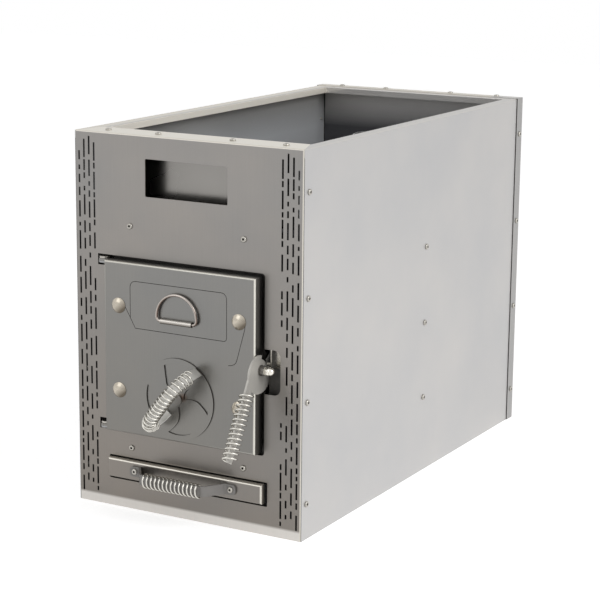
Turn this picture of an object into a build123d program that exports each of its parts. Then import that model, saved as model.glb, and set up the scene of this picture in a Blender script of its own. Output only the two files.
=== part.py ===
from build123d import *
import math
import os

# A wood-burning sauna stove: a sheet-metal casing open at the top round a steel firebox.
# Millimetres, +Z up, +Y to the back. The origin is at the middle of the casing's footprint.

# Casing
casing_width = 400.0
casing_depth = 790.0
casing_height = 585.0
casing_sheet = 1.2
casing_bend = 2.4
least_bend = 0.2
side_setback = 1.5
front_return = 28.0
rim_width_front = 52.0
rim_width_side = 20.0
rim_width_rear = 28.0
rim_lip = 12.0
back_wrap = 25.0
tray_edge = 14.0

# Openings in the front panel, from the middle of the front and from the floor
window_width = 144.0
window_bottom = 493.0
window_top = 550.0
window_corner = 2.0
opening_left = -138.0
opening_right = 136.0
opening_bottom = 122.7
opening_top = 398.5
opening_corner = 5.0
notch_width = 21.0
notch_height = 17.0
bay_right = 163.0
bay_bottom = 218.0
bay_top = 286.0
bay_corner = 11.0
slot_width = 283.5
slot_bottom = 44.6
slot_top = 82.3

# Vent slots: columns counted from the side, each a chain of slot and land lengths from the top down
vent_width = 3.0
vent_first = 8.5
vent_pitch = 9.0
vent_keep_off_x = 10.0
vent_keep_off_z = 6.0
vent_tops = (554, 572, 577, 568)
vent_chains = (
    (14, 8, 7, 7, 13, 7, 13, 8, 25, 8, 6, 7, 29, 11, 25, 8, 25, 8, 13, 14, 8, 6, 28, 12, 24, 9, 27, 4,
     16, 5, 8, 6, 27, 5, 9, 4, 7, 4, 25, 5, 10, 9, 24),
    (28, 3, 17, 3, 9, 12, 7, 6, 31, 9, 19, 8, 17, 16, 11, 8, 28, 13, 27, 12, 28, 6, 10, 6, 28, 8, 10,
     6, 24, 10, 12, 11, 7, 11, 30, 8, 19, 9, 12),
    (28, 8, 25, 8, 7, 7, 10, 7, 25, 8, 13, 6, 17, 10, 8, 13, 30, 9, 19, 5, 12, 9, 15, 14, 28, 17, 28,
     16, 25, 9, 7, 10, 25, 14, 9, 16, 12, 10, 7),
    (28, 3, 9, 5, 27, 4, 8, 3, 28, 3, 9, 11, 25, 29, 12, 5, 19, 7, 10, 10, 34, 11, 30, 10, 11, 4, 30,
     5, 7, 6, 13, 37, 9, 4, 28, 3, 9, 4, 28, 4, 7),
)

# Screws of the casing
screw_shank = 2.5
screw_head = 4.75
screw_head_height = 2.6
screw_length = 10.0
screw_sides = 8
screw_head_sides = 16
screw_play = 0.1
face_screw_x = 100.0
face_screw_low = 98.5
face_screw_high = 446.0
rim_screw_inner = 65.0
rim_screw_outer = 155.0
rim_screw_setback = 26.0
rim_screw_rear = 12.0
side_screw_setback = 15.0
side_screw_first = 55.0
side_screw_pitch = 155.7
middle_screw_setback = 409.0
middle_screw_first = 126.3

# Stone guard behind the window
guard_setback = 30.0
guard_bottom = 461.0
guard_width = 350.0

# Firebox
firebox_width = 250.0
firebox_wall = 3.0
firebox_bottom = 95.0
firebox_top = 458.0
firebox_end = 740.0
mouth_width = 220.0
mouth_bottom = 146.0
mouth_top = 376.0
mouth_corner = 6.0
plate_setback = 12.0
plate_thickness = 3.0
plate_left = -165.0
plate_right = 165.0
plate_bottom = 30.0
plate_top = 459.0
beak_slot_width = 8.0
beak_slot_bottom = 212.0
beak_slot_top = 292.0
boss_radius = 7.0
flue_radius = 57.25
flue_wall = 2.0
flue_length = 62.0
flue_setback = 650.0
baffle_drop = 62.0
baffle_thickness = 5.0
baffle_length = 430.0
baffle_play = 2.0
lug_size = 12.0
lug_thickness = 4.0
lug_setback = 60.0
grate_width = 120.0
grate_length = 300.0
grate_start = 110.0
grate_thickness = 12.0
grate_bars = 9
grate_land = 10.0

# Stand under the firebox and stays beside it
rail_gap = 1.5
rail_sheet = 3.0
rail_bend = 5.0
rail_ledge = 26.0
rail_foot = 30.0
rail_start = 40.0
rail_end = 720.0
stay_sheet = 1.5
stay_bend = 3.0
stay_flange = 26.0
stay_bottom = 100.0
stay_top = 405.0

# Door
door_left = -135.0
door_right = 131.0
door_bottom = 127.5
door_top = 394.0
door_proud = 20.0
door_rim = 2.5
door_sheet = 1.5
door_bend = 4.0
inner_thickness = 2.0
inner_margin = 4.0
inner_corner = 4.0
seal_width = 9.0
seal_margin = 4.0
seal_corner = 4.0
seat_gap = 0.3
bolt_spread_x = 106.0
bolt_spread_z = 66.0
bolt_head = 12.0
bolt_head_height = 4.6
bolt_head_edge = 0.6
bolt_head_rings = 3
bolt_neck = 8.0
bolt_shank = 4.0
bolt_play = 0.2
nut_height = 6.5
nut_flats = 13.0
spacer_wall = 2.5

# Hinges
pin_x = -148.0
pin_setback = 2.0
pin_radius = 4.0
pin_play = 0.08
pin_head = 8.0
pin_head_height = 3.0
pin_tail = 1.0
ear_radius = 9.0
ear_thickness = 3.0
bracket_drop = 27.0

# Air damper
rosette_z = 195.0
disc_radius = 63.0
disc_thickness = 2.0
window_radius = 55.5
petals = 4
petal_root = (0.9, -11.0)
petal_left_side = (2.6, -24.4)
petal_left_bend = (0.9, -34.4)
petal_left_sweep = (-8.0, -45.6)
petal_left_tip = (-16.9, -52.9)
petal_right_tip = (23.8, -50.1)
petal_right_side = (22.0, -36.7)
petal_right_bend = (19.8, -22.2)
petal_right_sweep = (14.2, -14.4)
rivet_radius = 4.0
rivet_head = 8.0
rivet_head_height = 1.8

# Strap handles and the wire wound on them
strap_width = 16.0
strap_thickness = 3.0
strap_bend = 8.0
wire = 3.2
wire_sides = 4
wire_gap = 0.35
wire_samples = 24
damper_strap_turn = 52.0
damper_strap_foot = 61.0
damper_strap_span = 50.0
damper_strap_rise = 38.0
damper_turns = 16
damper_coil_margin = 21.0
drawer_strap_reach = 95.0
drawer_strap_foot = 76.0
drawer_strap_grip = 55.0
drawer_strap_bow = 32.0
drawer_turns = 14
drawer_coil_pitch = 7.2
latch_turns = 13
latch_coil_pitch = 7.0

# Pull ring
ring_z = 313.0
ring_width = 74.0
ring_height = 44.0
ring_wire = 2.5
ring_sides = 8
sleeve_length = 55.0
sleeve_wall = 1.4
sleeve_play = 0.1
ring_corner = 6.5

# Latch
latch_setback = -9.5
latch_z = 256.0
latch_bolt_radius = 4.0
washer_radius = 8.0
washer_thickness = 1.0
outer_washer_thickness = 1.6
lever_thickness = 3.0
lever_disc = 29.0
lever_disc_y = -4.0
lever_disc_z = -6.0
hook_inner = 22.3
hook_outer = 35.0
hook_tip = 32.0
hook_seat = 7.0
hook_clear = 80.0
hook_root = -95.0
hook_overlap = 4.0
lever_corner = 4.0
neck_radius = 16.3
lever_root = 26.0
bolt_head_thickness = 5.3
jam_nut_height = 6.5
cap_nut_height = 15.0
dome_inset = 0.4
dome_rings = 4
grip_start_y = -38.0
grip_start_z = -31.0
grip_end_y = -87.0
grip_end_z = -118.0
keeper_setback = 8.0
keeper_z = 263.0
keeper_radius = 2.5
keeper_margin = 3.5
keeper_depth = 6.0
keeper_gap = 1.4
keeper_sheet = 2.0
keeper_reach = 14.0
keeper_top = 300.0
keeper_foot = 14.0

# Ash drawer
drawer_width = 276.0
drawer_bottom = 50.0
drawer_top = 80.5
drawer_proud = 11.0
drawer_sheet = 1.2
drawer_bend = 3.5
drawer_return = 10.0
drawer_depth = 430.0
drawer_box_top = 78.0
drawer_play = 0.3
handle_screw_x = 86.0
handle_screw_length = 8.0
handle_z = 66.0
channel_sheet = 1.5
channel_bend = 2.5
channel_length = 450.0
channel_flange = 12.0

# Places that follow from the sizes above
half_width = casing_width / 2
front = -casing_depth / 2
rear = casing_depth / 2
inner_half = half_width - casing_sheet
door_x = (door_left + door_right) / 2
door_z = (door_bottom + door_top) / 2
door_face = front - door_proud
door_back = front + door_rim
plate_front = front + plate_setback
plate_back = plate_front + plate_thickness
pin_y = front + pin_setback
latch_y = front + latch_setback
disc_front = door_face - disc_thickness
beak_slot_x = door_right + washer_thickness + lever_thickness / 2
side_screw_heights = [side_screw_first + side_screw_pitch * k for k in range(4)]
middle_screw_heights = [middle_screw_first * k for k in (1, 2, 3)]
rim_screw_places = [-rim_screw_outer, -rim_screw_inner, rim_screw_inner, rim_screw_outer]
coil_radius = math.hypot(strap_width, strap_thickness) / 2 + wire_gap + wire / 2
forward = (0, -1, 0)
upward = (0, 0, 1)


def slab(x_span, y_span, z_span):
    # A block between its three pairs of limits.
    spans = (x_span, y_span, z_span)
    size = [high - low for low, high in spans]
    middle = [(high + low) / 2 for low, high in spans]
    return Pos(*middle) * Box(*size)


def rod(start, direction, radius, length):
    # A round bar from a point along a direction.
    ends = (Align.CENTER, Align.CENTER, Align.MIN)
    return Plane(origin=start, z_dir=direction) * Cylinder(radius, length, align=ends)


def prism(start, direction, flats, length, sides=6):
    # A bar with flat sides from a point along a direction.
    outline = RegularPolygon(flats / 2, sides, major_radius=False)
    return extrude(Plane(origin=start, z_dir=direction) * outline, length)


def rectangle(x_span, z_span, corner=0.0):
    # A flat rectangle between its limits, with round corners if asked.
    width = x_span[1] - x_span[0]
    height = z_span[1] - z_span[0]
    place = Pos((x_span[0] + x_span[1]) / 2, (z_span[0] + z_span[1]) / 2)
    if corner > 0:
        return place * RectangleRounded(width, height, corner)
    return place * Rectangle(width, height)


def upright(sketch, y, thickness):
    # A sketch in width and height, made a plate whose front lies at y.
    return Pos(0, y + thickness, 0) * extrude(Plane.XZ * sketch, thickness)


def folded(points, sheet, bend, side=Side.LEFT):
    # The section of a folded sheet that lies on one side of a line.
    line = Wire(FilletPolyline(*points, radius=bend).edges())
    return Face(line.offset_2d(sheet, kind=Kind.ARC, side=side, closed=True))


def mirrored(shape):
    return mirror(shape, about=Plane.YZ)


def screw(place, outward, length=screw_length):
    # A button screw: head outside the point, shank inside it. Both have flat sides, to keep it light.
    head = prism(place, outward, 2 * screw_head, screw_head_height, screw_head_sides)
    shank = prism(place, -Vector(*outward), 2 * screw_shank, length, screw_sides)
    return head + shank


def screw_holes(places, outward, depth):
    # Through holes under a row of screws.
    start = [Vector(*place) + Vector(*outward) * 2 for place in places]
    flats = 2 * (screw_shank + screw_play)
    return [prism(point, -Vector(*outward), flats, depth + 4, screw_sides) for point in start]


def pan(x_span, y_span, z_span, sheet, bend):
    # A folded pan, open to the back, its four front folds round.
    outer = slab(x_span, y_span, z_span)
    outer = fillet(outer.faces().sort_by(Axis.Y)[0].edges(), bend)
    inner = slab((x_span[0] + sheet, x_span[1] - sheet), (y_span[0] + sheet, y_span[1] + 1),
                 (z_span[0] + sheet, z_span[1] - sheet))
    inner = fillet(inner.faces().sort_by(Axis.Y)[0].edges(), max(bend - sheet, least_bend))
    return outer - inner


# Screw places on the casing

def face_screws():
    heights = (face_screw_low, face_screw_high)
    return [(x, front, z) for x in (-face_screw_x, face_screw_x) for z in heights]


def front_rim_screws():
    return [(x, front + rim_screw_setback, casing_height) for x in rim_screw_places]


def rear_rim_screws():
    return [(x, rear - rim_screw_rear, casing_height + casing_sheet) for x in rim_screw_places]


def side_screws(setback, heights, side, outside=0.0):
    return [(side * (half_width + outside), front + setback, z) for z in heights]


# Casing

def vent_sketches():
    # Slots mirrored to both sides, left out where they come near a notch or the latch bay.
    keep_off = [
        (opening_left - notch_width, opening_left, opening_top - notch_height, opening_top),
        (opening_left - notch_width, opening_left, opening_bottom, opening_bottom + notch_height),
        (opening_right, bay_right, bay_bottom, bay_top),
    ]
    slots = []
    for column, (top, chain) in enumerate(zip(vent_tops, vent_chains)):
        x = half_width - vent_first - vent_pitch * column
        for side in (-1, 1):
            z = top
            for step, length in enumerate(chain):
                low = z - length
                clear = all(
                    side * x < left - vent_keep_off_x or side * x > right + vent_keep_off_x
                    or z < bottom - vent_keep_off_z or low > upper + vent_keep_off_z
                    for left, right, bottom, upper in keep_off)
                if step % 2 == 0 and clear:
                    slots.append(Pos(side * x, (z + low) / 2) * Rectangle(vent_width, length))
                z = low
    return slots


def front_panel():
    top = casing_height
    below = -2 * casing_bend
    body = pan((-inner_half, inner_half), (front, front + rim_width_front), (below, top),
               casing_sheet, casing_bend)
    body -= slab((-half_width, half_width), (front - 1, front + rim_width_front + 1), (below - 1, 0))
    body -= slab((-half_width, half_width), (front + front_return, front + rim_width_front + 1),
                 (-1, top - casing_sheet))
    rim_half = half_width - rim_width_side
    body += slab((-rim_half, rim_half), (front + rim_width_front - casing_sheet, front + rim_width_front),
                 (top - rim_lip, top - casing_sheet / 2))
    mitre = Polyline((half_width + 1, front + casing_bend), (half_width + 1, front + rim_width_front + 1),
                     (rim_half, front + rim_width_front + 1), (rim_half, front + rim_width_front),
                     (inner_half, front + casing_bend), close=True)
    corner = Pos(0, 0, top - casing_bend) * extrude(make_face(mitre), casing_bend + 1)
    body -= corner
    body -= mirrored(corner)
    cuts = rectangle((-window_width / 2, window_width / 2), (window_bottom, window_top), window_corner)
    cuts += rectangle((opening_left, opening_right), (opening_bottom, opening_top), opening_corner)
    notch = (opening_left - notch_width, opening_left + 2 * opening_corner)
    cuts += rectangle(notch, (opening_top - notch_height, opening_top))
    cuts += rectangle(notch, (opening_bottom, opening_bottom + notch_height))
    cuts += rectangle((opening_right - 2 * bay_corner, bay_right), (bay_bottom, bay_top), bay_corner)
    cuts += rectangle((-slot_width / 2, slot_width / 2), (slot_bottom, slot_top), window_corner)
    body -= upright(cuts, front - 1, casing_sheet + 2)
    body -= [upright(slot, front - 1, casing_sheet + 2) for slot in vent_sketches()]
    body -= screw_holes(face_screws(), forward, casing_sheet)
    body -= screw_holes(front_rim_screws(), (0, 0, 1), casing_sheet)
    for side in (-1, 1):
        places = side_screws(side_screw_setback, side_screw_heights, side)
        body -= screw_holes(places, (side, 0, 0), 2 * casing_sheet)
    return body


def right_side_panel():
    # Upright sheet with a flange and a lip at the top.
    top = casing_height
    rim_half = half_width - rim_width_side
    points = ((half_width, 0), (half_width, top), (rim_half, top), (rim_half, top - rim_lip))
    section = Pos(0, rear - casing_sheet, 0) * (Plane.XZ * folded(points, casing_sheet, casing_bend))
    body = extrude(section, casing_depth - casing_sheet - side_setback, dir=forward)
    front_gap = rim_width_front
    cut = make_face(Polyline((rim_half - 1, front), (inner_half, front), (inner_half, front + casing_bend),
                             (rim_half, front + front_gap), (rim_half - 1, front + front_gap), close=True))
    body -= Pos(0, 0, top - rim_lip - 1) * extrude(cut, rim_lip + 2)
    cut = make_face(Polyline((rim_half - 1, rear), (inner_half, rear), (inner_half, rear - casing_sheet),
                             (rim_half, rear - rim_width_rear), (rim_half - 1, rear - rim_width_rear),
                             close=True))
    body -= Pos(0, 0, top - rim_lip - 1) * extrude(cut, rim_lip + 2)
    rows = ((side_screw_setback, side_screw_heights), (middle_screw_setback, middle_screw_heights),
            (casing_depth - rim_screw_rear, side_screw_heights))
    for setback, heights in rows:
        body -= screw_holes(side_screws(setback, heights, 1), (1, 0, 0), casing_sheet)
    return body


def back_panel():
    # Pan that wraps round the ends of the side panels and over the rim.
    outer_half = half_width + casing_sheet
    top = casing_height + casing_sheet
    outer = slab((-outer_half, outer_half), (rear - back_wrap, rear), (0, top))
    edges = outer.faces().sort_by(Axis.Y)[-1].edges().filter_by(Axis.Z)
    edges += outer.faces().sort_by(Axis.Y)[-1].edges().filter_by(Axis.X).sort_by(Axis.Z)[-1:]
    outer = fillet(edges, casing_bend)
    inner = slab((-half_width, half_width), (rear - back_wrap - 1, rear - casing_sheet), (-1, casing_height))
    body = outer - inner
    body -= screw_holes(rear_rim_screws(), (0, 0, 1), casing_sheet)
    for side in (-1, 1):
        places = side_screws(casing_depth - rim_screw_rear, side_screw_heights, side, casing_sheet)
        body -= screw_holes(places, (side, 0, 0), casing_sheet)
    return body


def rear_rim_rail():
    top = casing_height
    points = ((rear - rim_width_rear, top - rim_lip), (rear - rim_width_rear, top),
              (rear - casing_sheet, top), (rear - casing_sheet, top - rim_lip))
    body = extrude(Plane.YZ * folded(points[::-1], casing_sheet, casing_bend), inner_half, both=True)
    rim_half = half_width - rim_width_side
    corner = make_face(Polyline((inner_half + 1, rear - casing_sheet), (inner_half, rear - casing_sheet),
                                (rim_half, rear - rim_width_rear), (rim_half, rear - rim_width_rear - 1),
                                (inner_half + 1, rear - rim_width_rear - 1), close=True))
    corner = Pos(0, 0, top - rim_lip - 1) * extrude(corner, rim_lip + 2)
    body -= corner
    body -= mirrored(corner)
    body -= screw_holes(rear_rim_screws(), (0, 0, 1), 2 * casing_sheet)
    return body


def stone_guard():
    # Sheet behind the window, its top flange screwed up under the front rim.
    top = casing_height - casing_sheet
    back = front + guard_setback + casing_sheet
    points = ((back, guard_bottom), (back, top), (front + 2 * casing_bend, top))
    body = extrude(Plane.YZ * folded(points, casing_sheet, casing_bend), guard_width / 2, both=True)
    body -= screw_holes(front_rim_screws(), (0, 0, 1), 3 * casing_sheet)
    return body


def base_tray():
    half = inner_half - casing_bend
    outer = slab((-half, half), (front + casing_sheet, rear - casing_sheet), (0, tray_edge))
    inner = slab((-half + casing_sheet, half - casing_sheet),
                 (front + 2 * casing_sheet, rear - 2 * casing_sheet), (casing_sheet, tray_edge + 1))
    return outer - inner


# Firebox

def firebox_body():
    # Welded box, open at the front, with a grate opening in its floor and a flue hole in its roof.
    half = firebox_width / 2
    wall = firebox_wall
    outer = slab((-half, half), (plate_back, front + firebox_end), (firebox_bottom, firebox_top))
    inner = slab((-half + wall, half - wall), (plate_back - 1, front + firebox_end - wall),
                 (firebox_bottom + wall, firebox_top - wall))
    body = outer - inner
    flue = (0, front + flue_setback, firebox_top - wall - 1)
    body -= rod(flue, (0, 0, 1), flue_radius - flue_wall, wall + 2)
    body -= slab((-grate_width / 2 + grate_land, grate_width / 2 - grate_land),
                 (front + grate_start + grate_land, front + grate_start + grate_length - grate_land),
                 (firebox_bottom - 1, firebox_bottom + wall + 1))
    lug_top = firebox_top - baffle_drop
    for side in (-1, 1):
        for setback in (lug_setback, baffle_length - lug_setback):
            inside = side * (half - wall)
            span = sorted((inside, inside - side * lug_size))
            start = plate_back + setback
            body += slab(span, (start, start + lug_size), (lug_top - lug_thickness, lug_top))
    return body


def beak_slot():
    return rectangle((beak_slot_x - beak_slot_width / 2, beak_slot_x + beak_slot_width / 2),
                     (beak_slot_bottom, beak_slot_top))


def firebox_front_plate():
    # Door frame plate with the fuel mouth, the drawer opening, a slot for the latch and four bosses.
    outline = rectangle((plate_left, plate_right), (plate_bottom, plate_top))
    mouth = (door_x - mouth_width / 2, door_x + mouth_width / 2)
    outline -= rectangle(mouth, (mouth_bottom, mouth_top), mouth_corner)
    outline -= rectangle((-slot_width / 2, slot_width / 2), (slot_bottom, slot_top))
    outline -= beak_slot()
    body = upright(outline, plate_front, plate_thickness)
    behind = front + casing_sheet
    for x, _, z in face_screws():
        body += rod((x, behind, z), (0, 1, 0), boss_radius, plate_front - behind)
    body -= screw_holes(face_screws(), forward, screw_length)
    return body


def flue_collar():
    place = (0, front + flue_setback, firebox_top)
    return (rod(place, (0, 0, 1), flue_radius, flue_length)
            - rod(place, (0, 0, 1), flue_radius - flue_wall, flue_length))


def flame_baffle():
    # Loose plate over the fire, on four lugs, that turns the flames round its rear edge.
    half = firebox_width / 2 - firebox_wall - baffle_play
    low = firebox_top - baffle_drop
    return slab((-half, half), (plate_back + 2 * baffle_play, plate_back + baffle_length),
                (low, low + baffle_thickness))


def grate():
    # Cast grate with long slots, laid over the opening in the firebox floor.
    low = firebox_bottom + firebox_wall
    start = front + grate_start
    top = low + grate_thickness
    body = slab((-grate_width / 2, grate_width / 2), (start, start + grate_length), (low, top))
    pitch = (grate_width - 2 * grate_land) / grate_bars
    for k in range(grate_bars):
        x = -grate_width / 2 + grate_land + pitch * (k + 0.5)
        body -= slab((x - pitch / 4, x + pitch / 4),
                     (start + grate_land, start + grate_length - grate_land), (low - 1, top + 1))
    return body


def base_rail():
    # Z-shaped rail that carries one side of the firebox floor above the tray.
    web = drawer_width / 2 + drawer_play + channel_sheet + rail_gap
    points = ((firebox_width / 2 - rail_ledge, firebox_bottom), (web + rail_sheet, firebox_bottom),
              (web + rail_sheet, casing_sheet + rail_sheet), (web + rail_foot, casing_sheet + rail_sheet))
    section = folded(points, rail_sheet, rail_bend, Side.RIGHT)
    return extrude(Pos(0, front + rail_end, 0) * (Plane.XZ * section), rail_end - rail_start, dir=forward)


def side_stay():
    # Z-shaped stay between the firebox wall and the side panel.
    near = firebox_width / 2
    far = inner_half - stay_sheet
    web = front + middle_screw_setback - stay_flange / 2
    points = ((near, web - stay_flange), (near, web), (far, web), (far, web + stay_flange))
    section = folded(points, stay_sheet, stay_bend, Side.RIGHT)
    body = Pos(0, 0, stay_bottom) * extrude(section, stay_top - stay_bottom, dir=upward)
    return body - screw_holes(side_screws(middle_screw_setback, middle_screw_heights, 1), (1, 0, 0),
                              3 * casing_sheet)


# Ash drawer

def drawer_front():
    half = drawer_width / 2
    face = front - drawer_proud
    body = pan((-half, half), (face, face + drawer_return), (drawer_bottom, drawer_top),
               drawer_sheet, drawer_bend)
    return body - screw_holes(drawer_handle_places(face), forward, drawer_sheet)


def drawer_handle_places(y):
    return [(x, y, handle_z) for x in (-handle_screw_x, handle_screw_x)]


def ash_drawer_box():
    half = drawer_width / 2
    start = front - drawer_proud + drawer_return
    outer = slab((-half, half), (start, start + drawer_depth), (drawer_bottom, drawer_box_top))
    inner = slab((-half + drawer_sheet, half - drawer_sheet),
                 (start + drawer_sheet, start + drawer_depth - drawer_sheet),
                 (drawer_bottom + drawer_sheet, drawer_box_top + 1))
    return outer - inner


def ash_channel():
    # Guide under the firebox that the drawer slides in.
    half = drawer_width / 2 + drawer_play + channel_sheet
    low = drawer_bottom - drawer_play - channel_sheet
    top = firebox_bottom - rail_sheet
    points = ((half - channel_flange, top), (half, top), (half, low), (-half, low), (-half, top),
              (channel_flange - half, top))
    section = folded(points, channel_sheet, channel_bend, Side.RIGHT)
    return extrude(Pos(0, plate_back + channel_length, 0) * (Plane.XZ * section), channel_length, dir=forward)


def drawer_handle():
    # Flat strap, its ends screwed to the drawer and its grip bowed out.
    face = front - drawer_proud
    grip = face - drawer_strap_bow + strap_thickness / 2
    points = ((-drawer_strap_reach, face), (-drawer_strap_foot, face), (-drawer_strap_grip, grip),
              (drawer_strap_grip, grip), (drawer_strap_foot, face), (drawer_strap_reach, face))
    section = folded(points, strap_thickness, strap_bend, Side.RIGHT)
    body = Pos(0, 0, handle_z - strap_width / 2) * extrude(section, strap_width, dir=upward)
    ends = body.faces().sort_by(Axis.X)
    corners = ends[0].edges().filter_by(Axis.Y) + ends[-1].edges().filter_by(Axis.Y)
    body = fillet(corners, strap_width / 2 - 2)
    return body - screw_holes(drawer_handle_places(face - strap_thickness), forward, strap_thickness)


def drawer_handle_screws():
    face = front - drawer_proud - strap_thickness
    return [screw(place, forward, handle_screw_length) for place in drawer_handle_places(face)]


# Wire wound on the handles

def tangent_arcs(start, leave, end, arrive):
    # Two arcs that join two points and keep the direction at both.
    step = end - start
    turn = leave + arrive
    share = 2 * (1 - leave.dot(arrive))
    reach = (math.sqrt(step.dot(turn) ** 2 + share * step.dot(step)) - step.dot(turn)) / share
    middle = (start + leave * reach + end - arrive * reach) * 0.5
    first = Edge.make_tangent_arc(start, leave, middle)
    return [first, Edge.make_tangent_arc(middle, first % 1, end)]


def wound_wire(name, turns, place):
    # One tube along a helix: place gives the point and the direction for a turn count.
    spots = [place(k / 2) for k in range(2 * turns + 1)]
    start, leave = spots[0]
    end, arrive = spots[-1]
    edges = [Edge.make_line(start - leave * wire, start)]
    for (a, along_a), (b, along_b) in zip(spots, spots[1:]):
        edges += tangent_arcs(a, along_a, b, along_b)
    edges.append(Edge.make_line(end, end + arrive * wire))
    path = Wire(edges)
    samples = [place(k / wire_samples)[0] for k in range(wire_samples * turns + 1)]
    nearest = min((a - b).length for k, a in enumerate(samples)
                  for b in samples[k + wire_samples // 2:k + 2 * wire_samples])
    gap = nearest - wire
    print(f"{name}: least gap between turns {gap:.2f} mm")
    section = Plane(origin=path @ 0, z_dir=path % 0) * RegularPolygon(wire / 2, wire_sides)
    return sweep(section, path=path, clean=False)


def straight_coil(name, start, axis, side, turns, pitch):
    # A coil along a straight grip.
    other = axis.cross(side)

    def place(turn):
        angle = 2 * math.pi * turn
        outward = side * math.cos(angle) + other * math.sin(angle)
        around = other * math.cos(angle) - side * math.sin(angle)
        along = (around * (2 * math.pi * coil_radius) + axis * pitch).normalized()
        return start + axis * (pitch * turn) + outward * coil_radius, along

    return wound_wire(name, turns, place)


def drawer_coil():
    length = drawer_turns * drawer_coil_pitch
    start = Vector(-length / 2, front - drawer_proud - drawer_strap_bow, handle_z)
    return straight_coil("drawer_coil", start, Vector(1, 0, 0), Vector(0, 0, 1), drawer_turns,
                         drawer_coil_pitch)


# Door

def rosette_window():
    # One curved window of the rosette, pointing down from the middle.
    left = (ThreePointArc(petal_root, petal_left_side, petal_left_bend)
            + ThreePointArc(petal_left_bend, petal_left_sweep, petal_left_tip))
    right = (ThreePointArc(petal_right_tip, petal_right_side, petal_right_bend)
             + ThreePointArc(petal_right_bend, petal_right_sweep, petal_root))
    rim = ThreePointArc(petal_left_tip, (0, -window_radius), petal_right_tip)
    return make_face(left + rim + right)


def rosette_windows(turn=0.0):
    window = rosette_window()
    step = 360 / petals
    return [Pos(door_x, rosette_z) * Rot(0, 0, turn + step * k) * window for k in range(petals)]


def carriage_places(y):
    return [(door_x + sx * bolt_spread_x, y, door_z + sz * bolt_spread_z)
            for sx in (-1, 1) for sz in (-1, 1)]


def hinge_ear(low):
    # The door's half of a hinge: a flat ear round the pin.
    link = Polyline((pin_x, pin_y - ear_radius), (door_left + door_bend, pin_y - ear_radius),
                    (door_left + door_bend, door_back), (pin_x, pin_y + ear_radius), close=True)
    outline = Pos(pin_x, pin_y) * Circle(ear_radius) + make_face(link)
    outline -= Pos(pin_x, pin_y) * Circle(pin_radius + pin_play)
    return Pos(0, 0, low) * extrude(outline, ear_thickness)


def ear_heights():
    return (door_bottom + door_sheet, door_top - door_sheet - ear_thickness)


def door_shell():
    # Folded pan with square holes for the bolts, the rosette's windows and both hinge ears.
    body = pan((door_left, door_right), (door_face, door_back), (door_bottom, door_top),
               door_sheet, door_bend)
    for window in rosette_windows(180 / petals):
        body -= upright(window, door_face - 1, door_sheet + 2)
    body -= rod((door_x, door_face - 1, rosette_z), (0, 1, 0), rivet_radius, door_sheet + 2)
    neck = bolt_neck / 2
    for x, y, z in carriage_places(door_face):
        body -= slab((x - neck, x + neck), (y - 1, y + door_sheet + 1), (z - neck, z + neck))
    inside = (door_right - 2 * door_sheet, latch_y, latch_z)
    body -= rod(inside, (1, 0, 0), latch_bolt_radius, 3 * door_sheet)
    for low in ear_heights():
        body += hinge_ear(low)
    return body


def door_inner_plate():
    # Heat shield behind the shell, on the four bolts, with the same windows.
    margin = inner_margin
    outline = rectangle((door_left + margin, door_right - margin),
                        (door_bottom + margin, door_top - margin), inner_corner)
    body = upright(outline, door_back, inner_thickness)
    for window in rosette_windows(180 / petals):
        body -= upright(window, door_back - 1, inner_thickness + 2)
    for place in carriage_places(door_back - 1):
        body -= rod(place, (0, 1, 0), bolt_shank + bolt_play, inner_thickness + 2)
    return body


def door_seal():
    # Rope packed round the fuel mouth.
    half_x = mouth_width / 2 + seal_margin
    low = mouth_bottom - seal_margin
    high = mouth_top + seal_margin
    outer = rectangle((door_x - half_x - seal_width, door_x + half_x + seal_width),
                      (low - seal_width, high + seal_width), seal_corner + seal_width)
    inner = rectangle((door_x - half_x, door_x + half_x), (low, high), seal_corner)
    start = door_back + inner_thickness
    return upright(outer - inner, start, plate_front - seat_gap - start)


def carriage_bolt(place):
    # Domed head, square neck in the shell, round shank through to the nut.
    x, y, z = place
    rise = bolt_head_height - bolt_head_edge
    dome = (bolt_head ** 2 + rise ** 2) / (2 * rise)
    reach = [bolt_head * k / bolt_head_rings for k in range(bolt_head_rings + 1)]
    crown = [(r, bolt_head_height - dome + math.sqrt(dome ** 2 - r ** 2)) for r in reach]
    head = revolve(make_face(Polyline(*crown, (bolt_head, 0), (0, 0), close=True)), Axis.Y)
    neck = bolt_neck / 2
    body = Pos(x, y, z) * (Rot(180, 0, 0) * head)
    body += slab((x - neck, x + neck), (y - bolt_head_edge / 2, y + door_sheet), (z - neck, z + neck))
    length = door_back + inner_thickness + nut_height - y
    return body + rod(place, (0, 1, 0), bolt_shank, length)


def door_nuts():
    nuts = []
    for place in carriage_places(door_back + inner_thickness):
        nut = prism(place, (0, 1, 0), nut_flats, nut_height)
        nuts.append(nut - rod(place, (0, 1, 0), bolt_shank, nut_height))
    return nuts


def door_spacers():
    # Six-sided sleeves that hold the inner plate off the shell.
    spacers = []
    length = door_back - door_face - door_sheet
    bore = bolt_shank + bolt_play
    for place in carriage_places(door_face + door_sheet):
        sleeve = prism(place, (0, 1, 0), 2 * (bore + spacer_wall), length)
        spacers.append(sleeve - rod(place, (0, 1, 0), bore, length))
    return spacers


# Hinges on the firebox front plate

def hinge_bracket(low):
    # Ear round the pin and a foot welded on the front plate.
    left = pin_x - ear_radius
    right = pin_x + ear_radius
    link = Polyline((left, pin_y), (left, plate_front), (right, plate_front), (right, pin_y), close=True)
    outline = Pos(pin_x, pin_y) * Circle(ear_radius) + make_face(link)
    outline -= Pos(pin_x, pin_y) * Circle(pin_radius)
    body = Pos(0, 0, low) * extrude(outline, ear_thickness)
    return body + slab((left, right), (plate_front - ear_thickness, plate_front),
                       (low - bracket_drop, low + ear_thickness))


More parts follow.
